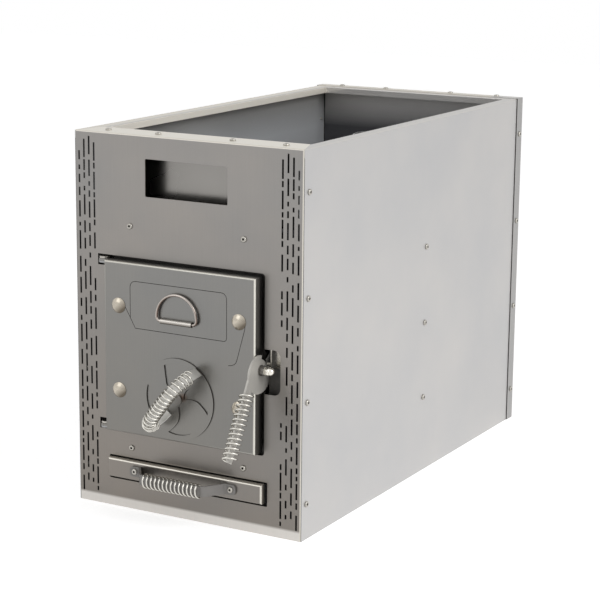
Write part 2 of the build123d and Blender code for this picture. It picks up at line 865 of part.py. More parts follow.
def hinge_brackets():
    return [hinge_bracket(low - seat_gap - ear_thickness) for low in ear_heights()]


def hinge_pins():
    pins = []
    for low in ear_heights():
        head = low + ear_thickness + seat_gap
        foot = low - seat_gap - ear_thickness - pin_tail
        pins.append(rod((pin_x, pin_y, foot), (0, 0, 1), pin_radius, head - foot)
                    + rod((pin_x, pin_y, head), (0, 0, 1), pin_head, pin_head_height))
    return pins


# Air damper on the door

def damper_disc():
    outline = Pos(door_x, rosette_z) * Circle(disc_radius)
    for window in rosette_windows():
        outline -= window
    outline -= Pos(door_x, rosette_z) * Circle(rivet_radius + pin_play)
    return upright(outline, disc_front, disc_thickness)


def damper_rivet():
    place = (door_x, disc_front - seat_gap, rosette_z)
    behind = (door_x, door_face + door_sheet, rosette_z)
    shank = disc_thickness + seat_gap + door_sheet + rivet_head_height
    return (rod(place, forward, rivet_head, rivet_head_height) + rod(place, (0, 1, 0), rivet_radius, shank)
            + rod(behind, (0, 1, 0), rivet_head, rivet_head_height))


def damper_plane():
    # Plane of the bow: its first direction runs along the strap and its second out from the door.
    turn = math.radians(damper_strap_turn)
    along = Vector(math.cos(turn), 0, math.sin(turn))
    return Plane(origin=(door_x, disc_front, rosette_z), x_dir=along, z_dir=along.cross(Vector(0, -1, 0)))


def bow_radius():
    # Radius of the strap's middle line and how far its centre lies behind the disc.
    span = damper_strap_span
    rise = damper_strap_rise
    radius = (span ** 2 + rise ** 2) / (2 * rise)
    return radius, radius - rise


def damper_handle():
    # Strap bowed over the rosette, its two feet flat on the disc.
    radius, behind = bow_radius()
    half = strap_thickness / 2
    centre = (0, -behind + half)
    ring = Pos(*centre) * (Circle(radius + half) - Circle(radius - half))
    ring &= Pos(0, radius) * Rectangle(4 * radius, 2 * radius)
    feet = Rectangle(2 * damper_strap_foot, strap_thickness, align=(Align.CENTER, Align.MIN))
    feet -= Pos(*centre) * Circle(radius)
    body = extrude(damper_plane() * (ring + feet), strap_width / 2, both=True)
    return body


def damper_coil():
    plane = damper_plane()
    radius, behind = bow_radius()
    centre = plane.origin + plane.y_dir * (strap_thickness / 2 - behind)
    reach = math.acos(behind / radius) - damper_coil_margin / radius

    def place(turn):
        bow = -reach + 2 * reach * turn / damper_turns
        angle = 2 * math.pi * turn
        out = plane.x_dir * math.sin(bow) + plane.y_dir * math.cos(bow)
        ahead = plane.x_dir * math.cos(bow) - plane.y_dir * math.sin(bow)
        reach_out = radius + coil_radius * math.cos(angle)
        point = centre + out * reach_out + plane.z_dir * (coil_radius * math.sin(angle))
        per_turn = 2 * reach / damper_turns / (2 * math.pi)
        along = (ahead * (reach_out * per_turn) - out * (coil_radius * math.sin(angle))
                 + plane.z_dir * (coil_radius * math.cos(angle)))
        return point, along.normalized()

    return wound_wire("damper_coil", damper_turns, place)


# Pull ring on the door

def ring_y():
    return door_face - ring_wire - sleeve_play - sleeve_wall


def pull_ring():
    # D-shaped ring of bar, its straight side in the sleeve.
    half = ring_width / 2 - ring_wire
    top = ring_height - ring_wire
    leg = top - half
    arch = CenterArc((0, leg), half, 0, 180)
    lower = FilletPolyline((-half, leg), (-half, 0), (half, 0), (half, leg), radius=ring_corner)
    plane = Plane(origin=(door_x, ring_y(), ring_z), x_dir=(1, 0, 0), z_dir=forward)
    path = plane * Wire(lower.edges() + arch.edges())
    section = Plane(origin=path @ 0, z_dir=path % 0) * RegularPolygon(ring_wire, ring_sides)
    return sweep(section, path=path, clean=False)


def ring_sleeve():
    # Tube welded on the door, open at both ends.
    start = (door_x - sleeve_length / 2, ring_y(), ring_z)
    bore = ring_wire + sleeve_play
    body = rod(start, (1, 0, 0), bore + sleeve_wall, sleeve_length)
    body += slab((start[0], start[0] + sleeve_length), (ring_y(), door_face),
                 (ring_z - bore, ring_z + bore))
    return body - rod(start, (1, 0, 0), bore, sleeve_length)


# Latch on the door's free edge

def ring_sector(inner, outer, first, last):
    # Part of a flat ring between two angles.
    a, b = math.radians(first), math.radians(last)
    points = [(r * math.cos(t), r * math.sin(t)) for r, t in ((inner, a), (outer, a), (outer, b), (inner, b))]
    edges = [Line(points[0], points[1]), CenterArc((0, 0), outer, first, last - first),
             Line(points[2], points[3]), CenterArc((0, 0), inner, first, last - first)]
    return make_face(edges[0] + edges[1] + edges[2] + edges[3])


def grip_direction():
    return Vector(grip_end_y - grip_start_y, grip_end_z - grip_start_z).normalized()


def latch_lever():
    # Flat lever: a round plate with a hook that closes behind the keeper pin, and a strap for the hand.
    outline = Pos(lever_disc_y, lever_disc_z) * Circle(lever_disc)
    outline += ring_sector(hook_inner - hook_overlap, hook_outer, hook_root, hook_tip)
    outline -= ring_sector(neck_radius, hook_inner, hook_seat, hook_tip)
    outline -= ring_sector(neck_radius, hook_outer + hook_overlap, hook_tip, hook_clear)
    along = grip_direction()
    root = Vector(grip_start_y, grip_start_z) - along * lever_root
    end = Vector(grip_end_y, grip_end_z)
    middle = (root + end) * 0.5
    angle = math.degrees(math.atan2(along.Y, along.X))
    length = (end - root).length
    strap = RectangleRounded(length, strap_width, lever_corner)
    outline += Pos(middle.X, middle.Y) * Rot(0, 0, angle) * strap
    outline -= Circle(latch_bolt_radius + pin_play)
    plane = Plane(origin=(door_right + washer_thickness, latch_y, latch_z), x_dir=(0, 1, 0), z_dir=(1, 0, 0))
    return extrude(plane * outline, lever_thickness)


def latch_coil():
    along = grip_direction()
    axis = Vector(0, along.X, along.Y)
    start = Vector(beak_slot_x, latch_y + grip_start_y, latch_z + grip_start_z)
    return straight_coil("latch_coil", start, axis, Vector(1, 0, 0), latch_turns, latch_coil_pitch)


def latch_bolt():
    # Hexagon bolt from inside the door pan out through its edge.
    start = (door_right - door_sheet, latch_y, latch_z)
    length = door_sheet + washer_thickness + lever_thickness + outer_washer_thickness + jam_nut_height
    length += cap_nut_height / 2
    head = prism(start, (-1, 0, 0), nut_flats, bolt_head_thickness)
    return head + rod(start, (1, 0, 0), latch_bolt_radius, length)


def latch_washers():
    washers = []
    inner = (door_right, latch_y, latch_z)
    outer = (door_right + washer_thickness + lever_thickness, latch_y, latch_z)
    for place, thickness in ((inner, washer_thickness), (outer, outer_washer_thickness)):
        washers.append(rod(place, (1, 0, 0), washer_radius, thickness)
                       - rod(place, (1, 0, 0), latch_bolt_radius, thickness))
    return washers


def latch_nuts():
    # Jam nut and domed cap nut on the pivot bolt.
    x = door_right + washer_thickness + lever_thickness + outer_washer_thickness
    jam = prism((x, latch_y, latch_z), (1, 0, 0), nut_flats, jam_nut_height)
    jam -= rod((x, latch_y, latch_z), (1, 0, 0), latch_bolt_radius, jam_nut_height)
    x += jam_nut_height
    dome = nut_flats / 2 - dome_inset
    shoulder = x + cap_nut_height - dome
    cap = prism((x, latch_y, latch_z), (1, 0, 0), nut_flats, cap_nut_height - dome)
    turns = [math.pi / 2 * k / dome_rings for k in range(dome_rings + 1)]
    profile = [(dome * math.sin(turn), dome * math.cos(turn)) for turn in turns]
    crown = revolve(make_face(Polyline(*profile, (0, 0), close=True)), Axis.Y)
    cap += Pos(shoulder, latch_y, latch_z) * (Rot(0, 0, -90) * crown)
    cap -= rod((x, latch_y, latch_z), (1, 0, 0), latch_bolt_radius, cap_nut_height / 2)
    return [jam, cap]


def latch_keeper():
    # Pin on an angle welded to the front plate. The pin stops beside the lever's plate.
    plate = door_right + washer_thickness + lever_thickness + keeper_reach - keeper_sheet * 2
    tip = door_right + washer_thickness + lever_thickness + keeper_gap
    low = keeper_z - keeper_radius - keeper_margin
    y = front + keeper_setback
    body = slab((plate, plate + keeper_sheet), (y - keeper_depth, plate_front), (low, keeper_top))
    body += slab((plate, plate + keeper_foot), (plate_front - keeper_sheet, plate_front), (low, keeper_top))
    return body + rod((tip, y, keeper_z), (1, 0, 0), keeper_radius, plate - tip + keeper_sheet)


def screw_group(places, outward):
    return [screw(place, outward) for place in places]


def side_screw_group(setback, heights, outside=0.0):
    group = []
    for side in (-1, 1):
        group += screw_group(side_screws(setback, heights, side, outside), (side, 0, 0))
    return group


def pieces():
    right_panel = right_side_panel()
    rail = base_rail()
    stay = side_stay()
    face = screw_group(face_screws(), forward)
    return {
        "front_panel": front_panel(),
        "right_side_panel": right_panel,
        "left_side_panel": mirrored(right_panel),
        "back_panel": back_panel(),
        "rear_rim_rail": rear_rim_rail(),
        "stone_guard": stone_guard(),
        "base_tray": base_tray(),
        "base_rails": [rail, mirrored(rail)],
        "firebox_body": firebox_body(),
        "firebox_front_plate": firebox_front_plate(),
        "flue_collar": flue_collar(),
        "flame_baffle": flame_baffle(),
        "grate": grate(),
        "right_side_stay": stay,
        "left_side_stay": mirrored(stay),
        "ash_channel": ash_channel(),
        "face_screws": face,
        "front_rim_screws": screw_group(front_rim_screws(), (0, 0, 1)),
        "rear_rim_screws": screw_group(rear_rim_screws(), (0, 0, 1)),
        "side_front_screws": side_screw_group(side_screw_setback, side_screw_heights),
        "side_middle_screws": side_screw_group(middle_screw_setback, middle_screw_heights),
        "side_rear_screws": side_screw_group(casing_depth - rim_screw_rear, side_screw_heights, casing_sheet),
        "hinge_brackets": hinge_brackets(),
        "hinge_pins": hinge_pins(),
        "latch_keeper": latch_keeper(),
        "door_shell": door_shell(),
        "door_inner_plate": door_inner_plate(),
        "door_seal": door_seal(),
        "door_bolts": [carriage_bolt(place) for place in carriage_places(door_face)],
        "door_nuts": door_nuts(),
        "door_spacers": door_spacers(),
        "damper_rivet": damper_rivet(),
        "ring_sleeve": ring_sleeve(),
        "latch_bolt": latch_bolt(),
        "latch_washers": latch_washers(),
        "latch_nuts": latch_nuts(),
        "damper_disc": damper_disc(),
        "damper_handle": damper_handle(),
        "damper_coil": damper_coil(),
        "pull_ring": pull_ring(),
        "latch_lever": latch_lever(),
        "latch_coil": latch_coil(),
        "drawer_front": drawer_front(),
        "ash_drawer_box": ash_drawer_box(),
        "drawer_handle": drawer_handle(),
        "drawer_handle_screws": drawer_handle_screws(),
        "drawer_coil": drawer_coil(),
    }


os.makedirs("parts", exist_ok=True)
for node, shape in pieces().items():
    if isinstance(shape, list):
        shape = Compound(children=shape)
    export_step(shape, f"parts/{node}.step")
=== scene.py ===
import math

import bmesh
import bpy
from mathutils import Matrix, Vector


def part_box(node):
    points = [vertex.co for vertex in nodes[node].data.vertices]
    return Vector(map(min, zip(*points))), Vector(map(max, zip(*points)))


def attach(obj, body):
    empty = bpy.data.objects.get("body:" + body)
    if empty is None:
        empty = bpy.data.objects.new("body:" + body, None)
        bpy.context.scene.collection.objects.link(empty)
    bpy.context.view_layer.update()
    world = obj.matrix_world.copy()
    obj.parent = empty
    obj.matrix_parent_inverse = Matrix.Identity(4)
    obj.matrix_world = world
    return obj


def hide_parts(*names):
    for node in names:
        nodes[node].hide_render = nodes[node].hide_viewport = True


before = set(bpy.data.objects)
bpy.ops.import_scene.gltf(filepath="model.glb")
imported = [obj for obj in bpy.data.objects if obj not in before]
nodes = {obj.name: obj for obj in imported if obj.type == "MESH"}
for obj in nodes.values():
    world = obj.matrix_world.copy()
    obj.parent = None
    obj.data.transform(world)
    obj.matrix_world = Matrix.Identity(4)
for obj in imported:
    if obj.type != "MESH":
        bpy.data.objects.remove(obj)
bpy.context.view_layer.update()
print("frame loaded:", len(nodes), "nodes")


# Node helpers

def addNode(tree, kind, **settings):
    node = tree.nodes.new(kind)
    for name, value in settings.items():
        setattr(node, name, value)
    return node


def newFinish(name):
    finish = bpy.data.materials.new(name)
    finish.use_nodes = True
    tree = finish.node_tree
    shader = tree.nodes["Principled BSDF"]
    return finish, tree, shader


def objectPlace(tree, scale=(1, 1, 1)):
    coords = addNode(tree, "ShaderNodeTexCoord")
    mapping = addNode(tree, "ShaderNodeMapping")
    mapping.inputs["Scale"].default_value = scale
    tree.links.new(coords.outputs["Object"], mapping.inputs["Vector"])
    return mapping.outputs["Vector"]


def noiseValue(tree, vector, scale, detail=2.0, roughness=0.5):
    noise = addNode(tree, "ShaderNodeTexNoise")
    noise.inputs["Scale"].default_value = scale
    noise.inputs["Detail"].default_value = detail
    noise.inputs["Roughness"].default_value = roughness
    tree.links.new(vector, noise.inputs["Vector"])
    return noise.outputs["Fac"]


def remap(tree, value, low, high, fromLow=0.3, fromHigh=0.7):
    spread = addNode(tree, "ShaderNodeMapRange", clamp=True)
    spread.inputs["From Min"].default_value = fromLow
    spread.inputs["From Max"].default_value = fromHigh
    spread.inputs["To Min"].default_value = low
    spread.inputs["To Max"].default_value = high
    tree.links.new(value, spread.inputs["Value"])
    return spread.outputs["Result"]


def mixColour(tree, share, first, second):
    mix = addNode(tree, "ShaderNodeMix", data_type="RGBA")
    tree.links.new(share, mix.inputs["Factor"])
    for socket, colour in ((mix.inputs[6], first), (mix.inputs[7], second)):
        if isinstance(colour, (tuple, list)):
            socket.default_value = (*colour, 1)
        else:
            tree.links.new(colour, socket)
    return mix.outputs[2]


def joinMaths(tree, operation, *values):
    maths = addNode(tree, "ShaderNodeMath", operation=operation)
    for socket, value in zip(maths.inputs, values):
        if isinstance(value, (int, float)):
            socket.default_value = value
        else:
            tree.links.new(value, socket)
    return maths.outputs[0]


def bumpFrom(tree, shader, height, distance, strength=1.0):
    bump = addNode(tree, "ShaderNodeBump")
    bump.inputs["Distance"].default_value = distance
    bump.inputs["Strength"].default_value = strength
    tree.links.new(height, bump.inputs["Height"])
    tree.links.new(bump.outputs["Normal"], shader.inputs["Normal"])


# Sheet steel

frontSheet = {
    # darker than the side panels' steel: painted shade on a face that looks forward
    "colour": (0.288, 0.272, 0.256),
    "tint": (0.252, 0.247, 0.241),
    "lowShade": (0.80, 0.765, 0.725),   # the face is darker and browner towards its foot
    "highShade": (1.04, 1.04, 1.04),
    "shadeHeights": (0.02, 0.52),
    "edgeShare": 0.7,          # cut edges that look up or out to the right are paler, a painted highlight
    "roughness": 0.36,
    "grain": (900, 900, 14),   # fine brushing, drawn out along the height
    "rimHighlightColour": (0.62, 0.585, 0.51),
    "rimHeight": 0.5836,       # the top fold and what lies above it is paler, a painted highlight
    "ventReach": (0.157, 0.1985),       # the vents' cut edges are painted dark as painted shade inside the slots
    "ventTop": 0.575,
    "ventShadeColour": (0.04, 0.036, 0.032),
    # a paler band along the foot: painted reflection of the floor
    "footReflectionColour": (0.60, 0.575, 0.545),
    "footHeights": (0.0125, 0.0165),
    "edgeHighlightColour": (0.62, 0.59, 0.53),
}
doorSheet = {
    # darker than the side panels' steel: painted shade on a face that looks forward
    "colour": (0.246, 0.240, 0.228),
    "tint": (0.222, 0.222, 0.218),
    "lowShade": (0.83, 0.81, 0.775),
    "highShade": (1.04, 1.04, 1.04),
    "shadeHeights": (0.02, 0.52),
    "roughness": 0.34,
    "grain": (900, 900, 14),
    "edgeHighlightColour": (0.66, 0.64, 0.58),
    "brownSpot": (0.0075, -0.4165, 0.199),
    "brownSpotColour": (0.13, 0.075, 0.05),
    "brownSpotReach": 0.009,
}
sideSheet = {   # the right and left panels
    "colour": (0.545, 0.532, 0.520),
    "tint": (0.495, 0.492, 0.494),
    "roughness": 0.42,
    "grain": (12, 700, 700),
    "insideColour": (0.60, 0.615, 0.635),
    "insideMetallic": 0.35,
    "insideRoughness": 0.16,
    "insideShade": (0.10, 0.10, 0.105),   # painted shade low down and beside the vents
    "insideShadeHeights": (0.40, 0.43),
    "insideShadeFront": (-0.345, -0.335),
    "insideTop": (0.34, 0.335, 0.32),
    "insideHeights": (0.51, 0.565),       # from insideColour to insideTop: painted light and shade by height
    "insideLimits": (0.1994, 0.3942, 0.5722),   # half width, rear and top, between the sheet's two faces
    "edgeHighlightColour": (0.55, 0.535, 0.515),
    "rimHighlightColour": (0.585, 0.56, 0.51),
    "rimHeight": 0.5722,
    "rimReach": 0.1985,        # only the folded rim, not the outer face beside it
    "rimRoughness": 0.55,
    "nearColour": (0.50, 0.49, 0.475),    # the right panel's fold gets less painted highlight, no paler than its side
    "nearStart": 0.15,
    "lipHighlightColour": (0.95, 0.91, 0.83),
    "lipHeights": (0.5825, 0.5845),       # from the fold's standing lip, where the painted highlight is palest, to its flat top
}
backSheet = dict(sideSheet, colour=(0.39, 0.382, 0.374), tint=(0.365, 0.36, 0.356),
                 insideColour=(0.07, 0.07, 0.075), insideTop=(0.60, 0.585, 0.57),
                 insideLimits=(0.1994, 0.3942, 0.5836), rimHeight=0.5836,
                 cornerShadeColour=(0.03, 0.03, 0.03), cornerStart=0.1966)


def mixValue(tree, share, first, second):
    mix = addNode(tree, "ShaderNodeMix", data_type="FLOAT")
    tree.links.new(share, mix.inputs["Factor"])
    for socket, value in ((mix.inputs[2], first), (mix.inputs[3], second)):
        if isinstance(value, (int, float)):
            socket.default_value = value
        else:
            tree.links.new(value, socket)
    return mix.outputs[0]


def bendHighlightShare(tree):
    # Painted highlight on the bends: how far a face turns away from the flats, weighted to the ones that look up or
    # out to the right.
    coords = addNode(tree, "ShaderNodeTexCoord")
    parts = addNode(tree, "ShaderNodeSeparateXYZ")
    tree.links.new(coords.outputs["Normal"], parts.inputs[0])
    sizes = [joinMaths(tree, "ABSOLUTE", parts.outputs[axis]) for axis in range(3)]
    largest = joinMaths(tree, "MAXIMUM", joinMaths(tree, "MAXIMUM", sizes[0], sizes[1]), sizes[2])
    turned = remap(tree, largest, 1.0, 0.0, 0.93, 0.995)
    lit = joinMaths(tree, "MAXIMUM", parts.outputs["X"], parts.outputs["Z"])
    upward = remap(tree, lit, 0.0, 1.0, -0.05, 0.5)
    return joinMaths(tree, "MULTIPLY", turned, upward)


def scaleColour(tree, colour, scale):
    scaled = addNode(tree, "ShaderNodeVectorMath", operation="SCALE")
    tree.links.new(colour, scaled.inputs[0])
    tree.links.new(scale, scaled.inputs["Scale"])
    return scaled.outputs[0]


def multiplyAll(tree, first, *others):
    for other in others:
        first = joinMaths(tree, "MULTIPLY", first, other)
    return first


def shadeFoot(tree, place, sheet, colour):
    rise = remap(tree, place["Z"], 0.0, 1.0, *sheet["shadeHeights"])
    faded = addNode(tree, "ShaderNodeVectorMath", operation="MULTIPLY")
    tree.links.new(colour, faded.inputs[0])
    tree.links.new(mixColour(tree, rise, sheet["lowShade"], sheet["highShade"]), faded.inputs[1])
    return faded.outputs[0]


def shadeInside(tree, shader, place, sheet, colour, rough):
    # The inner faces of a side or back sheet: darker, smoother and less metallic than the outer ones, with painted
    # light and shade by height and painted shade low down, near the front and in the back's inner corners.
    half, rear, top = sheet["insideLimits"]
    sideways = joinMaths(tree, "ABSOLUTE", place["X"])
    inside = multiplyAll(tree, joinMaths(tree, "LESS_THAN", sideways, half),
                         joinMaths(tree, "LESS_THAN", place["Y"], rear),
                         joinMaths(tree, "LESS_THAN", place["Z"], top))
    height = remap(tree, place["Z"], 0.0, 1.0, *sheet["insideHeights"])
    inner = mixColour(tree, height, sheet["insideColour"], sheet["insideTop"])
    low = remap(tree, place["Z"], 1.0, 0.0, *sheet["insideShadeHeights"])
    near = remap(tree, place["Y"], 1.0, 0.0, *sheet["insideShadeFront"])
    inner = mixColour(tree, joinMaths(tree, "MAXIMUM", low, near), inner, sheet["insideShade"])
    # Painted shade along the back's inner corners.
    if "cornerShadeColour" in sheet:
        corner = joinMaths(tree, "GREATER_THAN", sideways, sheet["cornerStart"])
        inner = mixColour(tree, corner, inner, sheet["cornerShadeColour"])
    tree.links.new(mixValue(tree, inside, 1.0, sheet["insideMetallic"]), shader.inputs["Metallic"])
    return mixColour(tree, inside, colour, inner), mixValue(tree, inside, rough, sheet["insideRoughness"])


def paintRim(tree, place, sheet, colour, rough):
    # The top fold is painted paler as a painted highlight, palest on its standing lip.
    rim = joinMaths(tree, "GREATER_THAN", place["Z"], sheet["rimHeight"])
    if "rimReach" not in sheet:
        return mixColour(tree, rim, colour, sheet["rimHighlightColour"]), rough
    sideways = joinMaths(tree, "ABSOLUTE", place["X"])
    rim = multiplyAll(tree, rim, joinMaths(tree, "LESS_THAN", sideways, sheet["rimReach"]))
    lip = remap(tree, place["Z"], 1.0, 0.0, *sheet["lipHeights"])
    near = joinMaths(tree, "GREATER_THAN", place["X"], sheet["nearStart"])
    fold = mixColour(tree, near, sheet["rimHighlightColour"], sheet["nearColour"])
    colour = mixColour(tree, rim, colour, mixColour(tree, lip, fold, sheet["lipHighlightColour"]))
    return colour, mixValue(tree, rim, rough, sheet["rimRoughness"])


def paintCutEdges(tree, place, sheet, colour):
    # Painted highlight on cut edges that look up or out to the right.
    facing = addNode(tree, "ShaderNodeTexCoord")
    ways = addNode(tree, "ShaderNodeSeparateXYZ")
    tree.links.new(facing.outputs["Normal"], ways.inputs[0])
    largest = joinMaths(tree, "MAXIMUM", ways.outputs["X"], ways.outputs["Z"])
    cutEdge = remap(tree, largest, 0.0, sheet["edgeShare"], 0.9, 0.99)
    sideways = joinMaths(tree, "ABSOLUTE", place["X"])
    # The vents' cut edges are painted near black as painted shade inside the slots.
    near, far = sheet["ventReach"]
    vents = multiplyAll(tree, joinMaths(tree, "GREATER_THAN", sideways, near),
                        joinMaths(tree, "LESS_THAN", sideways, far),
                        joinMaths(tree, "LESS_THAN", place["Z"], sheet["ventTop"]))
    return mixColour(tree, cutEdge, colour, mixColour(tree, vents, sheet["edgeHighlightColour"], sheet["ventShadeColour"]))


def paintBrownSpot(tree, plain, sheet, colour):
    # A brown spot round the damper's pivot.
    away = addNode(tree, "ShaderNodeVectorMath", operation="DISTANCE")
    tree.links.new(plain, away.inputs[0])
    away.inputs[1].default_value = sheet["brownSpot"]
    spotShare = remap(tree, away.outputs["Value"], 0.75, 0.0, sheet["brownSpotReach"] * 0.2, sheet["brownSpotReach"])
    return mixColour(tree, spotShare, colour, sheet["brownSpotColour"])


def brushedFinish(name, sheet):
    finish, tree, shader = newFinish(name)
    shader.inputs["Metallic"].default_value = 1.0
    plain = objectPlace(tree)
    grain = noiseValue(tree, objectPlace(tree, sheet["grain"]), 1.0, 3.0, 0.6)
    cloud = noiseValue(tree, plain, 5.0, 4.0, 0.55)
    colour = mixColour(tree, remap(tree, cloud, 0.0, 1.0), sheet["colour"], sheet["tint"])
    rough = remap(tree, grain, sheet["roughness"] - 0.05, sheet["roughness"] + 0.05, 0.25, 0.75)
    parts = addNode(tree, "ShaderNodeSeparateXYZ")
    tree.links.new(plain, parts.inputs[0])
    place = parts.outputs
    if "lowShade" in sheet:
        colour = shadeFoot(tree, place, sheet, colour)
    # A paler band along the foot, painted reflection of the floor.
    if "footReflectionColour" in sheet:
        foot = remap(tree, place["Z"], 1.0, 0.0, *sheet["footHeights"])
        colour = mixColour(tree, foot, colour, sheet["footReflectionColour"])
    if "insideColour" in sheet:
        colour, rough = shadeInside(tree, shader, place, sheet, colour, rough)
    if "rimHighlightColour" in sheet:
        colour, rough = paintRim(tree, place, sheet, colour, rough)
    colour = mixColour(tree, bendHighlightShare(tree), colour, sheet["edgeHighlightColour"])
    if "edgeShare" in sheet:
        colour = paintCutEdges(tree, place, sheet, colour)
    if "brownSpot" in sheet:
        colour = paintBrownSpot(tree, plain, sheet, colour)
    colour = scaleColour(tree, colour, remap(tree, grain, 0.97, 1.03, 0.25, 0.75))
    tree.links.new(colour, shader.inputs["Base Color"])
    tree.links.new(rough, shader.inputs["Roughness"])
    bumpFrom(tree, shader, grain, 0.00002, 0.3)
    return finish


frontFinish = brushedFinish("front brushed sheet", frontSheet)
doorFinish = brushedFinish("door brushed sheet", doorSheet)
sideFinish = brushedFinish("side satin sheet", sideSheet)
backFinish = brushedFinish("back satin sheet", backSheet)


# Other finishes

plainMetals = {
    "brightWire": {"colour": (0.66, 0.64, 0.59), "roughness": 0.20, "spots": 60.0, "change": 0.10},
    "platedHead": {"colour": (0.46, 0.44, 0.40), "roughness": 0.26, "spots": 90.0, "change": 0.12},
    "strapSheet": {"colour": (0.22, 0.21, 0.20), "roughness": 0.36, "spots": 40.0, "change": 0.14,
                   "metallic": 0.6},
    "leverSheet": {"colour": (0.58, 0.56, 0.52), "roughness": 0.42, "spots": 30.0, "change": 0.08,
                   "metallic": 0.25},
    "darkNut": {"colour": (0.24, 0.23, 0.215), "roughness": 0.34, "spots": 90.0, "change": 0.12},
    "brightCap": {"colour": (0.80, 0.77, 0.70), "roughness": 0.16, "spots": 90.0, "change": 0.05},
    "paleStrap": {"colour": (0.56, 0.55, 0.52), "roughness": 0.34, "spots": 40.0, "change": 0.08},
    "domedHead": {"colour": (0.54, 0.49, 0.41), "roughness": 0.20, "spots": 140.0, "change": 0.14,
                  "shade": (0.13, 0.11, 0.085)},
    "sleeveSheet": {"colour": (0.50, 0.475, 0.44), "roughness": 0.24, "spots": 60.0, "change": 0.10,
                    "shade": (0.10, 0.085, 0.07)},
    "ringBar": {"colour": (0.50, 0.455, 0.42), "roughness": 0.18, "spots": 60.0, "change": 0.10,
                "shade": (0.16, 0.12, 0.10)},
    "foldedInner": {"colour": (0.34, 0.34, 0.34), "roughness": 0.38, "spots": 12.0, "change": 0.12},
    # darker than bare steel: painted shade on the guard inside the window
    "mirrorSheet": {"colour": (0.27, 0.26, 0.245), "roughness": 0.24, "spots": 8.0, "change": 0.08},
    "fireboxSheet": {"colour": (0.60, 0.60, 0.605), "roughness": 0.30, "spots": 9.0, "change": 0.14},
}


def paintedShadeShare(tree):
    # Painted shade on the side of a round piece that looks down and to the right.
    coords = addNode(tree, "ShaderNodeTexCoord")
    aim = addNode(tree, "ShaderNodeVectorMath", operation="DOT_PRODUCT")
    aim.inputs[1].default_value = (-0.65, 0.0, 0.75)
    tree.links.new(coords.outputs["Normal"], aim.inputs[0])
    return remap(tree, aim.outputs["Value"], 1.0, 0.0, -0.45, 0.1)


def plainMetal(name, metal):
    finish, tree, shader = newFinish(name)
    shader.inputs["Metallic"].default_value = metal.get("metallic", 1.0)
    cloud = noiseValue(tree, objectPlace(tree), metal["spots"], 3.0)
    darker = tuple(c * (1 - metal["change"]) for c in metal["colour"])
    colour = mixColour(tree, remap(tree, cloud, 0.0, 1.0), metal["colour"], darker)
    if "shade" in metal:
        colour = mixColour(tree, paintedShadeShare(tree), colour, metal["shade"])
    rough = remap(tree, cloud, metal["roughness"], metal["roughness"] * (1 + metal["change"] * 2))
    tree.links.new(colour, shader.inputs["Base Color"])
    tree.links.new(rough, shader.inputs["Roughness"])
    return finish


metalFinishes = {name: plainMetal(name, metal) for name, metal in plainMetals.items()}


coatedSteel = {"colour": (0.055, 0.052, 0.048), "roughness": 0.5, "spots": 120.0}
roughCasting = {"colour": (0.045, 0.043, 0.042), "roughness": 0.7, "spots": 420.0}
glassRope = {"colour": (0.62, 0.58, 0.50), "dark": (0.36, 0.33, 0.28), "weave": 420.0}


def darkFinish(name, coat, depth):
    finish, tree, shader = newFinish(name)
    shader.inputs["Metallic"].default_value = 0.35
    shader.inputs["Roughness"].default_value = coat["roughness"]
    grain = noiseValue(tree, objectPlace(tree), coat["spots"], 4.0, 0.6)
    lighter = tuple(c * 1.5 for c in coat["colour"])
    tree.links.new(mixColour(tree, remap(tree, grain, 0, 1), coat["colour"], lighter), shader.inputs["Base Color"])
    bumpFrom(tree, shader, grain, depth, 0.6)
    return finish


def ropeFinish(name, rope):
    finish, tree, shader = newFinish(name)
    shader.inputs["Roughness"].default_value = 0.9
    checks = addNode(tree, "ShaderNodeTexVoronoi")
    checks.inputs["Scale"].default_value = rope["weave"]
    tree.links.new(objectPlace(tree), checks.inputs["Vector"])
    share = remap(tree, checks.outputs["Distance"], 0, 1, 0.1, 0.6)
    tree.links.new(mixColour(tree, share, rope["colour"], rope["dark"]), shader.inputs["Base Color"])
    bumpFrom(tree, shader, checks.outputs["Distance"], 0.0004, 0.8)
    return finish


# Dark finish for the door's burnt grooves with painted shade in them, and painted shade in screw sockets and under
# the back flange's edge.
burnAndShadeFinish = plainMetal("burnt line", {"colour": (0.05, 0.045, 0.04), "roughness": 0.6, "spots": 60.0,
                                         "change": 0.2})
discEdgeShadeFinish = plainMetal("disc edge", {"colour": (0.105, 0.095, 0.085), "roughness": 0.5, "spots": 60.0,
                                          "change": 0.2})
coatedFinish = darkFinish("coated steel", coatedSteel, 0.0001)
castFinish = darkFinish("rough casting", roughCasting, 0.0004)
ropeSeal = ropeFinish("glass rope", glassRope)
print("finishes made")


def dress(finish, *names):
    for name in names:
        mesh = nodes[name].data
        mesh.materials.clear()
        mesh.materials.append(finish)


def dressFaces(finish, name, chosen):
    # A second finish on the faces that are chosen.
    mesh = nodes[name].data
    mesh.materials.append(finish)
    for face in mesh.polygons:
        face.material_index = 1 if chosen(face) else 0


def isKeeperEdge(face):
    return face.normal.y < -0.3 and face.center.z > 0.2


# The back flange's front edges beside the side panels, which take the dark finish as a painted shadow in the gap.
def isFlangeShadowEdge(face):
    return face.normal.y < -0.9 and abs(face.center.x) > 0.1995


def isDiscEdge(face):
    return abs(face.normal.y) < 0.3


